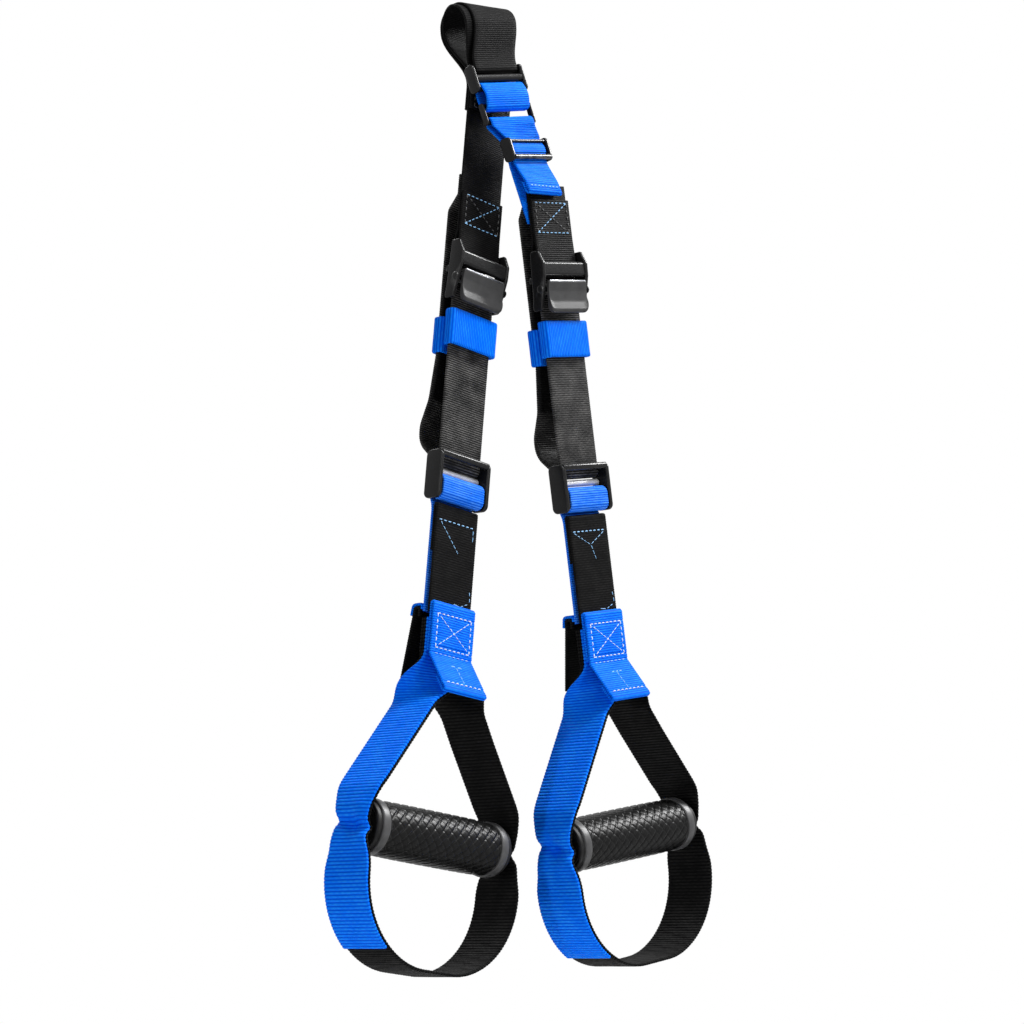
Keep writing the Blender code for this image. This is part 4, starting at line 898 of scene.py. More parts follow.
def adjuster_strap():
    wrap = RING_BAR_RADIUS + WALL_FIT
    ring_z = RING_CENTRE - RING_BAR_OFFSET
    (top_y, top_z, top_r), (mid_y, mid_z, mid_r), (low_y, low_z, low_r) = slide_bars()
    leg = LEGS["right"]
    inner, end = -LAYER / 2, PATCH_TOP + STRAP_END_LAP
    outer, cut = inner - 2 * FOLD_RADIUS, end + STRAP_TURN_BACK
    end_place = leg @ axes((STRAP_END_ASIDE, -STRAP_END_SHIFT, end), 0.0, 0.0, SLIDE_YAW)
    end_place = shifted(end_place @ slanted(STRAP_END_SLANT), 0.0, 0.0, -end)
    folded = [(inner, cut, 0.0), (inner, end, FOLD_RADIUS), (outer, end, FOLD_RADIUS),
              (outer, cut, 0.0)]
    at_low, at_top = low_y + low_r + WALL_FIT, top_y + top_r + WALL_FIT
    at_mid, behind = mid_y - mid_r - WALL_FIT, mid_y + mid_r + WALL_FIT + GAP
    weave = [(at_low, low_z - 2 * low_r, 0.0), (at_low, low_z + low_r / 2, low_r),
             (at_mid, mid_z - mid_r, mid_r), (at_mid, mid_z + mid_r, mid_r),
             (at_top, top_z, top_r * 2), (at_top, top_z + 2 * top_r, 0.0)]
    passing = [(behind, mid_z + SLIDE_BAR_PITCH, 0.0),
               (behind + GAP, mid_z - SLIDE_PLATE[1] * SLIDE_PASS_SHARE, 0.0)]
    lowest = PATCH_TOP + REAR_LAP - STRAP_LAP
    sewn_end = straight(leg @ slanted(REAR_SLANT, lowest), 1.5 * LAYER,
                        REAR_TOP + REAR_LAP / 2, lowest)
    stations = chained([
        stations_from(end_place, folded), stations_from(SLIDE, weave),
        stations_from(CHAIN, round_bar(wrap, ring_z - wrap, ring_z + wrap)),
        stations_from(SLIDE, passing), sewn_end], ADJUSTER_PULL)
    strap("adjuster_strap", ["adjuster_strap"], "straps", stations, "blue", pitch=FINE_PITCH)
    row = end + STRAP_ROW_RISE
    rows = rows_on(on_face(end_place, (outer, 0.0)), (-STRAP_ROW_HALF, row, STRAP_ROW_HALF, row))
    sewn("adjuster_strap", rows, SKY_THREAD, "straps")


# Legs

def upper_strap(side):
    leg = LEGS[side]
    wrap, half = CAM_BAR_RADIUS + WALL_FIT, LAYER / 2
    behind, before = CAM_BAR_BACK + wrap, CAM_BAR_BACK - wrap
    corners = [(half, STRAP_TOP[side], 0.0), (half, PATCH_BOTTOM, wrap * 2),
               (behind, wrap, wrap), (behind, -wrap, wrap), (before, -wrap, wrap),
               (before, wrap, wrap), (-half, PATCH_BOTTOM, wrap * 2), (-half, PATCH_TOP, 0.0)]
    strap(f"{side}_upper", [f"{side}_upper_strap"], "straps", stations_from(leg, corners),
          "black", pitch=FINE_PITCH, rib=FINE_RIB)
    front = on_face(leg, (-half, 0.0))
    top, bottom = PATCH_TOP - PATCH_SEAM_TOP, PATCH_BOTTOM + PATCH_SEAM_BOTTOM
    sides = box_rows(front, SEAM_HALF, top, bottom)
    for tag, first, x, thread in (("patch", 0, SEAM_HALF, SKY_THREAD),
                                  ("patch_dark", 1, -SEAM_HALF, DARK_THREAD)):
        sewn(f"{side}_{tag}", sides[first::2] + rows_on(front, (x, top, -x, bottom)), thread,
             "straps")


def cam_buckle(side):
    leg = LEGS[side]
    front = CAM_PLATE_BACK - CAM_PLATE_DEPTH
    outline = rounded_route([
        (front + across * CAM_PLATE_DEPTH,
         level * (CAM_PLATE_TOP if level > 0 else CAM_PLATE_BOTTOM), CAM_PLATE_ROUND)
        for across, level in CAM_SHARES], True)
    reach = INNER_HALF + CAM_PLATE_THICK / 2
    half_d, half_h = FRONT_BAR_DEPTH / 2, FRONT_BAR_HEIGHT / 2
    bars = [flat_bar(-FRONT_BAR_FORWARD - half_d, -FRONT_BAR_FORWARD + half_d,
                     -FRONT_BAR_DROP - half_h, -FRONT_BAR_DROP + half_h, FRONT_BAR_ROUND, reach),
            rod(CAM_BAR_BACK, 0.0, CAM_BAR_RADIUS, reach),
            rod(GUIDE_BAR_BACK, -GUIDE_BAR_DROP, GUIDE_BAR_RADIUS, reach)]
    body = framed(outline, CAM_PLATE_THICK, bars)
    bore = rod(-PIN_FORWARD, -PIN_DROP, PIN_RADIUS + GAP, INNER_HALF + CAM_PLATE_THICK + 0.001)
    hard_piece(f"{side}_cam_frame", combined(body, [bore], "DIFFERENCE"), leg)
    pin_and_spring(side)
    lever(side)


def pin_and_spring(side):
    leg = shifted(LEGS[side], 0.0, -PIN_FORWARD, -PIN_DROP)
    body = INNER_HALF + CAM_PLATE_THICK + GAP
    head = body + PIN_HEAD_THICK
    half = [(body, PIN_RADIUS), (body, PIN_HEAD_RADIUS)]
    half += [(head - PIN_HEAD_THICK * down_share, PIN_HEAD_RADIUS * share)
             for down_share, share in PIN_DOME]
    hard_piece(f"{side}_cam_pin", turned_mesh("pin", mirrored(half) + half, 32), leg,
               finish=PIN_DARK, slot="steel_bright")
    turn = 2 * math.pi * np.arange(SPRING_TURNS * SPRING_STEPS + 1) / SPRING_STEPS
    end = WEB_WIDTH / 2 - SPRING_WIRE
    outward = np.stack((np.zeros(len(turn)), np.cos(turn), np.sin(turn)), axis=1)
    centre = outward * SPRING_COIL
    centre[:, 0] = end - SPRING_PITCH * turn / (2 * math.pi)
    other = unit(np.cross(unit(np.gradient(centre, axis=0)), outward))[:, None]
    ring = np.linspace(0.0, 2 * math.pi, SPRING_SIDES, endpoint=False)[None, :, None]
    wire = (outward[:, None] * np.cos(ring) + other * np.sin(ring)) * SPRING_WIRE / 2
    mesh = ring_mesh("spring", centre[:, None] + wire, turn * SPRING_COIL,
                     spread_over(0.0025, SPRING_SIDES, len(turn)), False)
    hard_piece(f"{side}_cam_spring", mesh, leg, finish=STEEL, slot="steel_bright")


def lever(side):
    """The thumb plate: a rounded top lip, a hollow face, a rolled foot and round lower corners."""
    leg = shifted(LEGS[side], 0.0, -PIN_FORWARD, -PIN_DROP)
    face_top, face_low = PIN_FORWARD - LEVER_FACE_TOP, PIN_FORWARD - LEVER_FACE_BOTTOM
    top = PIN_DROP - LEVER_TOP
    low = top - LEVER_LENGTH
    mid = (top + low) / 2
    outline = np.array([tuple(p) for p in rounded_route([
        (face_top - 0.0003, top, 0.001), (face_top + 0.0008, mid + 0.004, LEVER_LENGTH * 0.6),
        (face_top + 0.0010, mid - 0.003, LEVER_LENGTH * 0.4),
        (face_low - 0.0006, low + 0.0022, 0.003), (face_low, low, 0.0011),
        (face_low + LEVER_THICK + 0.0004, low, 0.0011),
        (face_top + LEVER_THICK, top, 0.0009)], True)])
    half, corner, edge = WEB_WIDTH / 2, LEVER_CORNER, LEVER_EDGE
    rim = [(past - half, inset) for past, inset in reversed(quarter(edge))]
    spans = rim + [(x, 0.0) for x in np.linspace(-half + edge, half - edge, 61)[1:-1]]
    spans += mirrored(rim)
    middle = outline.mean(axis=0)
    rings = []
    for x, inset in spans:
        past = max(0.0, abs(x) - (half - corner)) / corner
        lowest = low + corner * (1 - math.sqrt(max(0.0, 1 - min(1.0, past) ** 2)))
        ring = outline.copy()
        ring[:, 1] = top - (top - ring[:, 1]) * (top - lowest) / (top - low)
        ring -= (ring - middle) * (inset / 0.0035)
        rings.append(np.column_stack((np.full(len(ring), x), ring)))
    plate = ring_mesh("plate", np.array(rings), np.linspace(0, WEB_WIDTH, len(rings)),
                      spread_over(0.05, len(outline), len(rings)), False)
    hub_start, hub_end = 0.001 - half, half - SPRING_TURNS * SPRING_PITCH - SPRING_WIRE * 2
    spots = [hub_start, *np.linspace(hub_start + 0.001, hub_end - 0.001, 5), hub_end]
    teeth = [(hub_start, 0.0)] + [(x, HUB_RADIUS) for x in spots] + [(hub_end, 0.0)]
    hub = turned_mesh("hub", teeth, 120, waves(TOOTH_DEPTH, HUB_TEETH, 0.0, 0.001))
    bore = rod(0.0, 0.0, PIN_RADIUS + GAP, half + 0.001)
    notch = rod(0.0, 0.0, SPRING_COIL + SPRING_WIRE / 2 + GAP, half + 0.001, hub_end)
    body = combined(combined(plate, [hub]), [bore, notch], "DIFFERENCE")
    hard_piece(f"{side}_cam_lever", body, leg, f"{side}_lever", LEVER, "lever_satin")
    # A thin bright steel bead along the plate's top edge stands for the highlight line there:
    # painted highlight.
    lip = rod(face_top + 0.0002, top - 0.0001, 0.0006, half - 0.0012)
    lip.name = f"{side}_cam_lever_highlight_bead"
    dress(as_object(lip, STEEL, WEB_SHARP, leg), f"{side}_lever", (), "lever_satin")


def down(leg, distance):
    return (leg @ Vector((0.0, 0.0, -distance)))[:]


def long_straps(side):
    """The main strap, from the back of the leg round the roller to the teeth, and its tail."""
    leg = LEGS[side]
    guide, roll = GUIDE_BAR_RADIUS + WALL_FIT, ROLLER_RADIUS + WALL_FIT
    crest, bend = -GUIDE_BAR_DROP + guide + CREST_RISE, guide - 2 * GAP
    before, behind = GUIDE_BAR_BACK - guide, GUIDE_BAR_BACK + guide
    back, lowest = RUN_SET + 2 * roll, -ROLLER_DROP - roll
    lap = LAYER * (0.5 + LAYERS_BEHIND[side])
    corners = [(GUIDE_BAR_BACK - GAP, crest, 0.0), (before, crest, bend),
               (before, -PIN_DROP + HUB_RADIUS, guide), (RUN_SET, -PIN_DROP - HUB_RADIUS, guide),
               (RUN_SET, lowest, roll * ARC_FIT), (back, lowest, roll * ARC_FIT),
               (back, -ROLLER_DROP + roll / 2, roll),
               (BULGE_SET, -BULGE_BOTTOM, BULGE_RADIUS), (BULGE_SET, -BULGE_TOP, BULGE_RADIUS),
               (DRIFT_SET, -TAIL_LENGTH, WEB_WIDTH / 2), (REAR_SET, -DRIFT_START, WEB_WIDTH / 2),
               (REAR_SET, REAR_CLEAR - REAR_LAP, REAR_LAP / 2), (lap, REAR_CLEAR, REAR_LAP / 3),
               (lap, REAR_TOP, 0.0)]
    item, _ = strap(f"{side}_main", [f"{side}_main_strap"], None, stations_from(leg, corners),
                    "grey", pitch=MAIN_PITCH)
    down(leg, MAIN_BLEND_START)
    down(leg, MAIN_BLEND_END)
    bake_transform(item)
    near = REAR_SET - LAYER
    corners = [(GUIDE_BAR_BACK + GAP, crest, 0.0), (behind, crest, bend),
               (behind, -GUIDE_BAR_DROP - guide, guide), (near, -PIN_DROP - guide, guide),
               (near, -DRIFT_START - LAYER, WEB_WIDTH / 2),
               (DRIFT_SET - LAYER * 1.2, -TAIL_LENGTH, 0.0)]
    strap(f"{side}_tail", [f"{side}_tail_strap"], "straps", stations_from(leg, corners), "black")


def keepers(side):
    leg = LEGS[side]
    upright = turned(leg, UP)
    half_x, corner = WEB_WIDTH / 2 + KEEPER_WEB_GAP + KEEPER_THICK / 2, KEEPER_CORNER * 2
    behind = RUN_SET + WEB_THICK / 2 + KEEPER_WEB_GAP
    spare = WEB_THICK / 2 + REAR_KEEPER_PLAY
    for tag, front, back, top in (
            ("front", behind - FRONT_KEEPER_DEPTH, behind, FRONT_KEEPER_TOP),
            ("rear", REAR_SET - LAYER - spare, REAR_SET + spare, REAR_KEEPER_TOP)):
        outline = box_outline(-half_x, half_x, front - KEEPER_THICK / 2, back + KEEPER_THICK / 2,
                              corner)
        stations = [(leg @ Vector((x, y, -top - KEEPER_HEIGHT / 2)), upright, KEEPER_HEIGHT)
                    for x, y in outline]
        strap(f"{side}_{tag}_keeper", [f"{side}_{tag}_keeper"], f"{side}_{tag}_sleeve", stations,
              "blue", closed=True, thick=KEEPER_THICK)


def slider(side):
    leg = LEGS[side]
    y, z = RUN_SET + ROLLER_RADIUS + WALL_FIT, -ROLLER_DROP
    bore_end = INNER_HALF + FRAME_WALL * BORE_SHARE
    inside, tip = INNER_HALF - GAP, bore_end - GAP
    half = [(inside, ROLLER_RADIUS), (inside, JOURNAL_RADIUS), (tip - GAP, JOURNAL_RADIUS),
            (tip, JOURNAL_RADIUS - GAP), (tip, 0.0)]
    hard_piece(f"{side}_slider_roller", turned_mesh("roller", mirrored(half) + half, 40),
               shifted(leg, 0.0, y, z), f"{side}_roller", STEEL, "steel_bright")
    outline = box_outline(-FRAME_FRONT, FRAME_BACK, -FRAME_BOTTOM, -FRAME_TOP, FRAME_CORNER)
    reach = INNER_HALF + FRAME_WALL / 2
    lip = flat_bar(-FRAME_FRONT, -FRAME_FRONT + LIP_DEPTH, -FRAME_TOP - LIP_HEIGHT, -FRAME_TOP,
                   LIP_HEIGHT * 0.4, reach)
    cross = flat_bar(-CROSS_DEPTH / 2, CROSS_DEPTH / 2, -CROSS_BOTTOM, -CROSS_TOP, CROSS_CORNER,
                     reach)
    bores = [rod(y, z, JOURNAL_RADIUS + GAP, bore_end),
             rod(ROD_BACK, -ROD_DROP, ROD_RADIUS + GAP, bore_end)]
    body = combined(framed(outline, FRAME_WALL, [lip, cross], 0.001), bores, "DIFFERENCE")
    hard_piece(f"{side}_slider_frame", body, leg, f"{side}_slider")
    knurled = np.linspace(-inside + KNURL_IN, inside - KNURL_IN, 240)
    ends = [(inside, JOURNAL_RADIUS), (tip, JOURNAL_RADIUS), (tip, 0.0)]
    shape = mirrored(ends) + [(x, KNURL_RADIUS) for x in knurled] + ends
    knurl = waves(KNURL_DEPTH, KNURL_COUNT, KNURL_RATE, JOURNAL_RADIUS * 1.1)
    mesh = turned_mesh("rod", shape, 96, knurl)
    hard_piece(f"{side}_slider_rod", mesh, shifted(leg, 0.0, ROD_BACK, -ROD_DROP),
               f"{side}_slider", SILVER, "steel_bright")


def hanger(side):
    """The blue strap round the cross bar, and the black fold over it."""
    leg, handle = LEGS[side], f"{side}_handle"
    y, behind = CROSS_DEPTH / 2 + WALL_FIT, 1.5 * LAYER
    top, bottom = -CROSS_TOP + WALL_FIT, -CROSS_BOTTOM - WALL_FIT
    radius = CROSS_CORNER + WALL_FIT
    low = straight(leg, behind, -HANGER_BOTTOM, -HANGER_TOP - 0.005)
    near = (behind + 0.6 * (y - behind), bottom - 0.4 * (HANGER_TOP + bottom), 0.0)
    loop = stations_from(leg, [near, (y, bottom, radius), (y, top, radius), (-y, top, radius),
                               (-y, bottom, radius), (y - LAYER - radius / 2, bottom, 0.0)])
    item, _ = strap(f"{side}_hanger", [f"{side}_hanger_loop", f"{side}_hanger_back"], None,
                    chained([low, loop]), "band", pitch=MAIN_PITCH)
    down(leg, SWING_DROP - SWING_BLEND_UP)
    down(leg, SWING_DROP + SWING_BLEND_DOWN)
    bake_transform(item)
    fold = LAYER / 2
    corners = [(-fold, -HANGER_BOTTOM, 0.0), (-fold, -HANGER_TOP + fold, fold * ARC_FIT),
               (fold, -HANGER_TOP + fold, fold * ARC_FIT),
               (fold, -HANGER_TOP - HANGER_SHORT, 0.0)]
    strap(f"{side}_hanger_front", [f"{side}_hanger_strap"], handle, stations_from(leg, corners),
          "black")
    front = on_face(leg, (-fold, 0.0))
    sewn(f"{side}_hanger", rows_on(front, HANGER_ROW), SKY_THREAD, handle,
         radius=THREAD_RADIUS * 1.15)
    sewn(f"{side}_hanger_thin", rows_on(front, *HANGER_THIN_ROWS[side]), SKY_THREAD, handle,
         *THIN_LINE)
    sewn(f"{side}_hanger_edge", rows_on(front, *HANGER_EDGE_ROWS), SKY_THREAD, handle,
         radius=THREAD_RADIUS * 0.8)


def front_tab(side):
    leg, handle = LEGS[side], f"{side}_handle"
    inner, outer = -1.5 * LAYER, -1.5 * LAYER - 2 * FOLD_RADIUS
    tip_y, tip_z = outer - FLAP_REACH, -TAB_BOTTOM - FLAP_DROP
    along = Vector((-FLAP_REACH, -FLAP_DROP)).normalized()
    square = Vector((-along.y, along.x)) * (2 * FOLD_RADIUS)
    back = Vector((tip_y, tip_z)) + (square if square.x > 0 else -square)
    turn = FOLD_RADIUS * ARC_FIT
    corners = [(inner, -TAB_BOTTOM + LAYER, 0.0), (inner, -TAB_TOP, turn),
               (outer, -TAB_TOP, turn), (outer, -TAB_BOTTOM, FOLD_RADIUS * 3),
               (tip_y, tip_z, turn), (*back, turn), (*(back - along * FLAP_TURN), 0.0)]
    x, top, bottom = TAB_SEAM_HALF, -TAB_TOP - TAB_SEAM_TOP, -TAB_BOTTOM + TAB_SEAM_BOTTOM
    seam = -TAB_BOTTOM + TAB_FOLD_SEAM
    inverse = np.array(leg.inverted())

    def panel(path, share):
        """The doubled cloth inside the sewn box stands a little proud of the tab, and the rows
        of stitches and the flap's hem are pressed in."""
        y, z = ((path.centre @ inverse[k, :3] + inverse[k, 3])[:, None] for k in (1, 2))

        def near(level, reach):
            return eased(1 - np.abs(z - level) / reach)
        inside = eased((top - 0.0012 - z) / 0.0012) * eased((z - bottom - 0.0012) / 0.0012)
        inside = inside * eased((0.74 - np.abs(share)) / 0.07) * (np.abs(y - outer) < 0.0005)
        pressed = near(top, 0.0014) + near(bottom, 0.0014) + 1.3 * near(seam, 0.0016)
        pressed = np.minimum(pressed * (np.abs(y - outer) < 0.0008), 1.0)
        hem = near(tip_z + 0.0042, 0.0016) * (y < outer - FLAP_REACH * 0.6) * (y < tip_y + 0.004)
        facing = -np.sign(path.normal @ np.array(turned(leg, BACK)))[:, None]
        return facing * (PANEL_RISE * inside - PRESSED_DEPTH * (pressed + hem))
    strap(f"{side}_front_tab", [f"{side}_front_tab"], handle, stations_from(leg, corners),
          "blue", warp=panel, columns=40)
    front, raised = on_face(leg, (outer, 0.0)), on_face(leg, (outer - PANEL_RISE, 0.0))
    flap = on_face(leg, (outer, -TAB_BOTTOM), along)
    length = Vector((FLAP_REACH, FLAP_DROP)).length
    hem_row = length - HEM_ROW
    cross_x, cross_top, cross_low = x - CROSS_IN, top - CROSS_DOWN, bottom + CROSS_DOWN
    sewn(f"{side}_tab", box_rows(front, x, top, bottom)
         + rows_on(flap, (-SEAM_HALF, hem_row, SEAM_HALF, hem_row)), WHITE_THREAD, handle,
         radius=THREAD_RADIUS * 1.1)
    sewn(f"{side}_tab_cross", rows_on(
        raised, (-cross_x, cross_top, cross_x, cross_low),
        (cross_x, cross_top, -cross_x, cross_low)), WHITE_THREAD, handle, *THIN_LINE)
    sewn(f"{side}_tab_blue", rows_on(front, (-x, seam, x, seam))
         + rows_on(flap, (-0.0045, 0.0085, 0.0055, 0.0085)), SKY_THREAD, handle)
    sewn(f"{side}_tab_thin", rows_on(flap, (0.0, 0.009, 0.001, length - 0.0065)), SKY_THREAD,
         handle, *THIN_LINE)


def rear_tab(side):
    leg, handle = LEGS[side], f"{side}_handle"
    near, top, slope = 3.5 * LAYER, -REAR_TAB_TOP, REAR_TAB_REACH / REAR_TAB_LENGTH
    far, lift = near + REAR_TAB_WIDTH, top + LAYER
    over = far + LAYER * (1 - slope / 2)
    tab = [(near, top - REAR_TAB_LEAD, 0.0), (near, top, LAYER / 2), (far, top, LAYER / 2),
           (far + REAR_TAB_REACH, top - REAR_TAB_LENGTH, 0.0)]
    trim = [(near - LAYER, lift - TRIM_LENGTH / 2, 0.0), (near - LAYER, lift, LAYER),
            (over, lift, LAYER), (over + TRIM_LENGTH * slope, lift - TRIM_LENGTH, 0.0)]
    for tag, corners, kind in (("rear_tab", tab, "black"), ("rear_trim", trim, "blue")):
        strap(f"{side}_{tag}", [f"{side}_{tag}"], handle, stations_from(leg, corners), kind)


# Handle straps and grip

def half_loop():
    return rounded_route([
        (0.0, -SIDE_TOP, 0.0), (0.0, -SPLIT_DROP, SPLIT_RADIUS),
        (PINCH_HALF - SHOULDER_INSET, -GRIP_DROP + SHOULDER_RISE, PINCH_RADIUS),
        (PINCH_HALF, -GRIP_DROP, PINCH_RADIUS),
        (CRADLE_HALF, -CRADLE_DROP, CRADLE_RADIUS), (0.0, -CRADLE_DROP, 0.0)],
        step=HANDLE_ARC_STEP)


def dense(points, step=0.0022):
    made = [points[0]]
    for a, b in zip(points, points[1:]):
        parts = max(1, math.ceil((b - a).length / step))
        made += [a.lerp(b, k / parts) for k in range(1, parts + 1)]
    return made


def twist_at(z):
    return math.pi / 2 * float(eased((-z - TWIST_TOP) / (TWIST_BOTTOM - TWIST_TOP)))


def width_at(x, z):
    if abs(x) <= PINCH_HALF / 2:
        return WEB_WIDTH
    drawn_in = float(eased(1 - abs(z + GRIP_DROP) / PINCH_SPREAD))
    return WEB_WIDTH * (1 - (1 - PINCH_WIDTH_SHARE) * drawn_in)


def handle_stations(leg, points, mirror, offset, spread=0.0):
    """World stations of one side strap; spread moves it off its neighbour at the top."""
    made = []
    for i, point in enumerate(points):
        turn = twist_at(point.y)
        across = Vector((math.cos(turn), -math.sin(turn), 0.0))
        before, after = points[max(0, i - 1)], points[min(len(points) - 1, i + 1)]
        ahead = Vector(((after.x - before.x) * mirror, 0.0, after.y - before.y)).normalized()
        outward = ahead.cross(across).normalized()
        spare = spread * max(0.0, 1 - point.x / (PINCH_HALF / 2))
        centre = Vector((point.x * mirror, LAYER / 2, point.y)) + outward * offset
        centre += Vector((math.sin(turn), math.cos(turn), 0.0)) * spare
        made.append((leg @ centre, turned(leg, across), width_at(point.x, point.y)))
    return made


def gathers(leg):
    """The bulge, the tuck and the pleats where a side strap is drawn in at the end of the grip."""
    inverse = np.array(leg.inverted())
    sideways = np.array(turned(leg, ACROSS))

    def warp(path, share):
        x, z = (path.centre @ inverse[k, :3] + inverse[k, 3] for k in (0, 2))
        drop = (z + GRIP_DROP)[:, None]
        beside = (np.abs(x) > PINCH_HALF / 2).astype(float)[:, None]
        outward = (np.sign(path.normal @ sideways) * np.sign(x))[:, None]
        near = eased(1 - np.abs(drop) / PLEAT_SPREAD) * beside
        pleat = np.cos(math.pi * PLEAT_WAVES * share + 0.5 + 9 * drop)
        slant = drop + DENT_DROP + 0.0022 * share
        dent = np.exp(-(slant / DENT_SPREAD) ** 2) * (1 - 0.25 * share ** 2) * beside
        bulge = np.exp(-((drop - BULGE_RISE) / BULGE_SPREAD) ** 2) * (1 - 0.6 * share ** 2)
        below = np.exp(-((drop + BULGE_RISE) / BULGE_SPREAD) ** 2) * 0.45
        out = BULGE_OUT * (bulge + below) * beside - DENT_DEPTH * dent
        return outward * out + PLEAT_DEPTH * near * pleat
    return warp


def handle_straps(side):
    leg, handle = LEGS[side], f"{side}_handle"
    points = dense(half_loop())
    shape = {"pitch": BOLD_PITCH, "warp": gathers(leg), "columns": 26, "rib": BOLD_RIB}
    left, right = (handle_stations(leg, points, -1, 0.0),
                   handle_stations(leg, points, 1, 0.0, LAYER))
    strap(f"{side}_cradle", [f"{side}_cradle_strap"], handle, left + right[-2::-1], "black",
          **shape)
    count = sum(p.y > -GRIP_DROP - PINCH_SPREAD or p.x > CRADLE_HALF * COVER_END_SHARE
                for p in points)
    cover = handle_stations(leg, points, -1, LAYER)[:count]
    _, outer = strap(f"{side}_side", [f"{side}_side_strap"], handle, cover, "blue", **shape)
    rows = [(outer.spot, (outer.length - drop, -0.88), (outer.length - drop, 0.88))
            for drop in (0.003, 0.007)]
    sewn(f"{side}_cradle", rows, DARK_THREAD, handle)


def groove_relief(x, angle, radius):
    """Two families of helical grooves, the one deep and the other shallow, cut in the sleeve."""
    outside = (radius > SLEEVE_RADIUS - EDGE_ROUND / 2).astype(float)
    deep = x / GROOVE_LEAD * GROOVE_STARTS + angle * GROOVE_STARTS / (2 * math.pi)
    shallow = x / GROOVE_LEAD * GROOVE_STARTS - angle * GROOVE_STARTS / (2 * math.pi)

    def cut(phase):
        away = np.abs(phase - np.round(phase)) / GROOVE_SHARE
        return 1 - eased(np.minimum(away, 1.0))
    tilt = (deep - np.floor(deep)) * 0.0001
    cuts = DEEP_GROOVE * cut(deep) + SHALLOW_GROOVE * cut(shallow)
    return (tilt * (1 - cut(deep)) - cuts) * outside


def grip(side):
    leg, spin = shifted(LEGS[side], 0.0, LAYER / 2, -GRIP_DROP), f"{side}_grip"
    tube_end = GRIP_HALF - CAP_FLANGE - GAP
    ring_in = tube_end - RING_WIDTH
    sleeve_end = ring_in - GAP
    fit, edge = TUBE_RADIUS + GAP, EDGE_ROUND
    tube = [(tube_end, TUBE_RADIUS), (tube_end, TUBE_BORE)]
    hard_piece(f"{side}_grip_tube", turned_mesh("tube", mirrored(tube) + tube, 64), leg, spin,
               TUBE, "tube_plastic")
    ends = [(sleeve_end, SLEEVE_RADIUS - edge), (sleeve_end, fit)]
    run_end = sleeve_end - edge * 0.7
    run = [(x, SLEEVE_RADIUS + SLEEVE_CROWN * (1 - (x / sleeve_end) ** 4))
           for x in np.linspace(-run_end, run_end, 221)]
    sleeve = turned_mesh("sleeve", mirrored(ends) + run + ends, 288, groove_relief)
    hard_piece(f"{side}_grip_sleeve", sleeve, leg, spin, RUBBER, "grip_rubber")
    ring = [(ring_in, fit)]
    ring += [(ring_in + past, RING_RADIUS - inset) for past, inset in reversed(quarter(edge))]
    ring += [(tube_end - past, RING_RADIUS - inset) for past, inset in quarter(edge)]
    ring += [(tube_end, fit)]
    cap_in, hole, dished = tube_end + GAP, CORE_RADIUS + GAP, GRIP_HALF - CAP_DISH
    cap = [(cap_in - CAP_SPIGOT, hole), (cap_in - CAP_SPIGOT, TUBE_BORE - GAP),
           (cap_in, TUBE_BORE - GAP), (cap_in, CAP_RADIUS)]
    cap += [(GRIP_HALF - past, CAP_RADIUS - inset) for past, inset in quarter(edge)]
    cap += [(GRIP_HALF, CAP_RADIUS - 2 * edge),
            (GRIP_HALF - CAP_DISH * 0.3, CAP_RADIUS - 2.5 * edge),
            (dished, CAP_RADIUS - 3.4 * edge), (dished, hole)]
    for label in ("left", "right"):
        for tag, shape, finish, slot in (("ring", ring, RING_GREY, "ring_grey"),
                                         ("cap", cap, CAP_DARK, "cap_black")):
            profile = mirrored(shape) if label == "left" else shape
            hard_piece(f"{side}_{label}_grip_{tag}", turned_mesh(tag, profile, 96), leg, spin,
                       finish, slot)
    end = PINCH_HALF - WEB_THICK / 2 - GAP * 2 - DENT_DEPTH + 0.001
    tip = [(end - 0.001, CORE_RADIUS), (end, CORE_RADIUS * 0.7), (end, 0.0)]
    core = mirrored(tip) + [(x, CORE_RADIUS) for x in np.linspace(-end + 0.002, end - 0.002, 60)]
    twist = turned_mesh("core", core + tip, 32, waves(CORE_DEPTH, CORE_STRANDS, CORE_RATE, 0.0035))
    hard_piece(f"{side}_grip_core", twist, leg, f"{side}_handle", TUBE, "webbing_black")


# Stage, light and camera

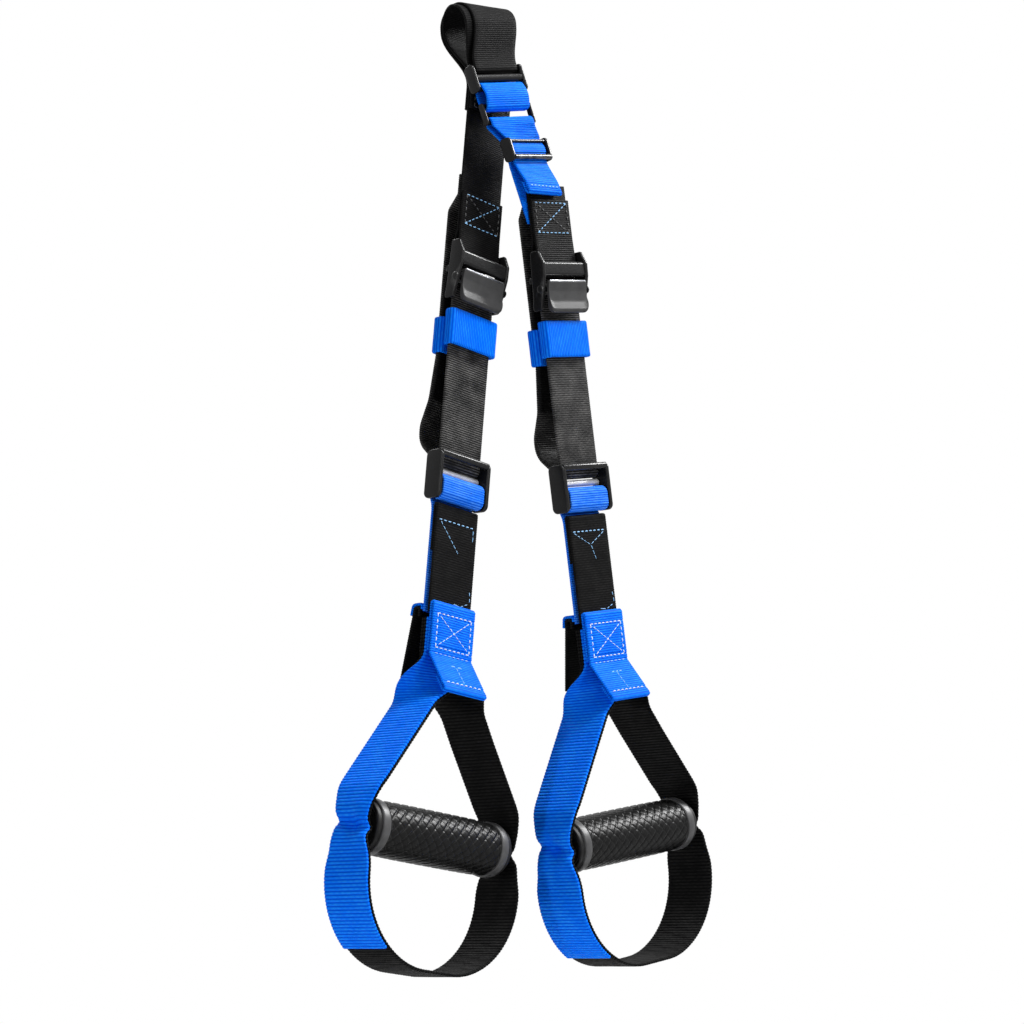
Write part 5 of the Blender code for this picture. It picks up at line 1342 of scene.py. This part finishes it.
def light_world():
    """White to the camera and in reflections, and dimmer as a light."""
    world = bpy.data.worlds.new("studio")
    bpy.context.scene.world = world
    world.use_nodes = True
    graph = Graph(world.node_tree)
    backdrop = graph.tree.nodes["Background"].inputs
    path = graph.add("LightPath")
    seen = graph.math("MAXIMUM", path["Is Glossy Ray"], path["Is Transmission Ray"])
    seen = graph.math("MAXIMUM", path["Is Camera Ray"], seen)
    graph.put(backdrop["Color"], (1.0, 1.0, 1.0))
    graph.put(backdrop["Strength"], graph.ranged(seen, 0.0, 1.0, WORLD_LIGHT, 1.0))


def floor():
    """A pale round floor under the trainer, small enough to lie under the photograph's view."""
    mesh = bpy.data.meshes.new("floor")
    turns = np.linspace(0.0, 2 * math.pi, FLOOR_SIDES, endpoint=False)
    rim = [(FLOOR_REACH * math.cos(t), FLOOR_REACH * math.sin(t), FLOOR_Z) for t in turns]
    mesh.from_pydata(rim, [], [tuple(range(FLOOR_SIDES))])
    mesh.materials.append(Look("floor").finished({"Base Color": (0.86,) * 3, "Roughness": 0.9}))
    placed("floor", mesh)


def lamp(name, place, power, size, diffuse):
    data = bpy.data.lights.new(name, "AREA")
    data.shape = "RECTANGLE"
    data.size, data.size_y = size
    data.energy = power
    item = placed(name, data)
    item.location = place
    item.rotation_euler = (LAMP_AIM - Vector(place)).to_track_quat("-Z", "Y").to_euler()
    item.visible_diffuse = diffuse


def camera():
    """The photograph's viewpoint: from the front left, a little below, turned slightly."""
    turn, rise, roll = CAMERA_ANGLES
    basis = Matrix.Rotation(turn, 4, "Z") @ Matrix.Rotation(math.pi / 2 + rise, 4, "X")
    basis = basis @ Matrix.Rotation(-roll, 4, "Z")
    data = bpy.data.cameras.new("camera")
    data.lens, data.sensor_width = CAMERA_LENS, 36.0
    data.clip_start, data.clip_end = 0.05, 50.0
    item = placed("camera", data)
    item.matrix_world = Matrix.Translation(CAMERA_PLACE) @ basis
    bpy.context.scene.camera = item


camera()
light_world()
floor()
for lamp_values in LAMPS:
    lamp(*lamp_values)
bpy.context.scene.view_settings.view_transform = "Standard"

anchor_loop()
chain_hardware()
link_loop()
adjuster_strap()
for leg_name in LEGS:
    for make in (upper_strap, cam_buckle, long_straps, keepers, slider, hanger, front_tab,
                 rear_tab, handle_straps, grip):
        make(leg_name)
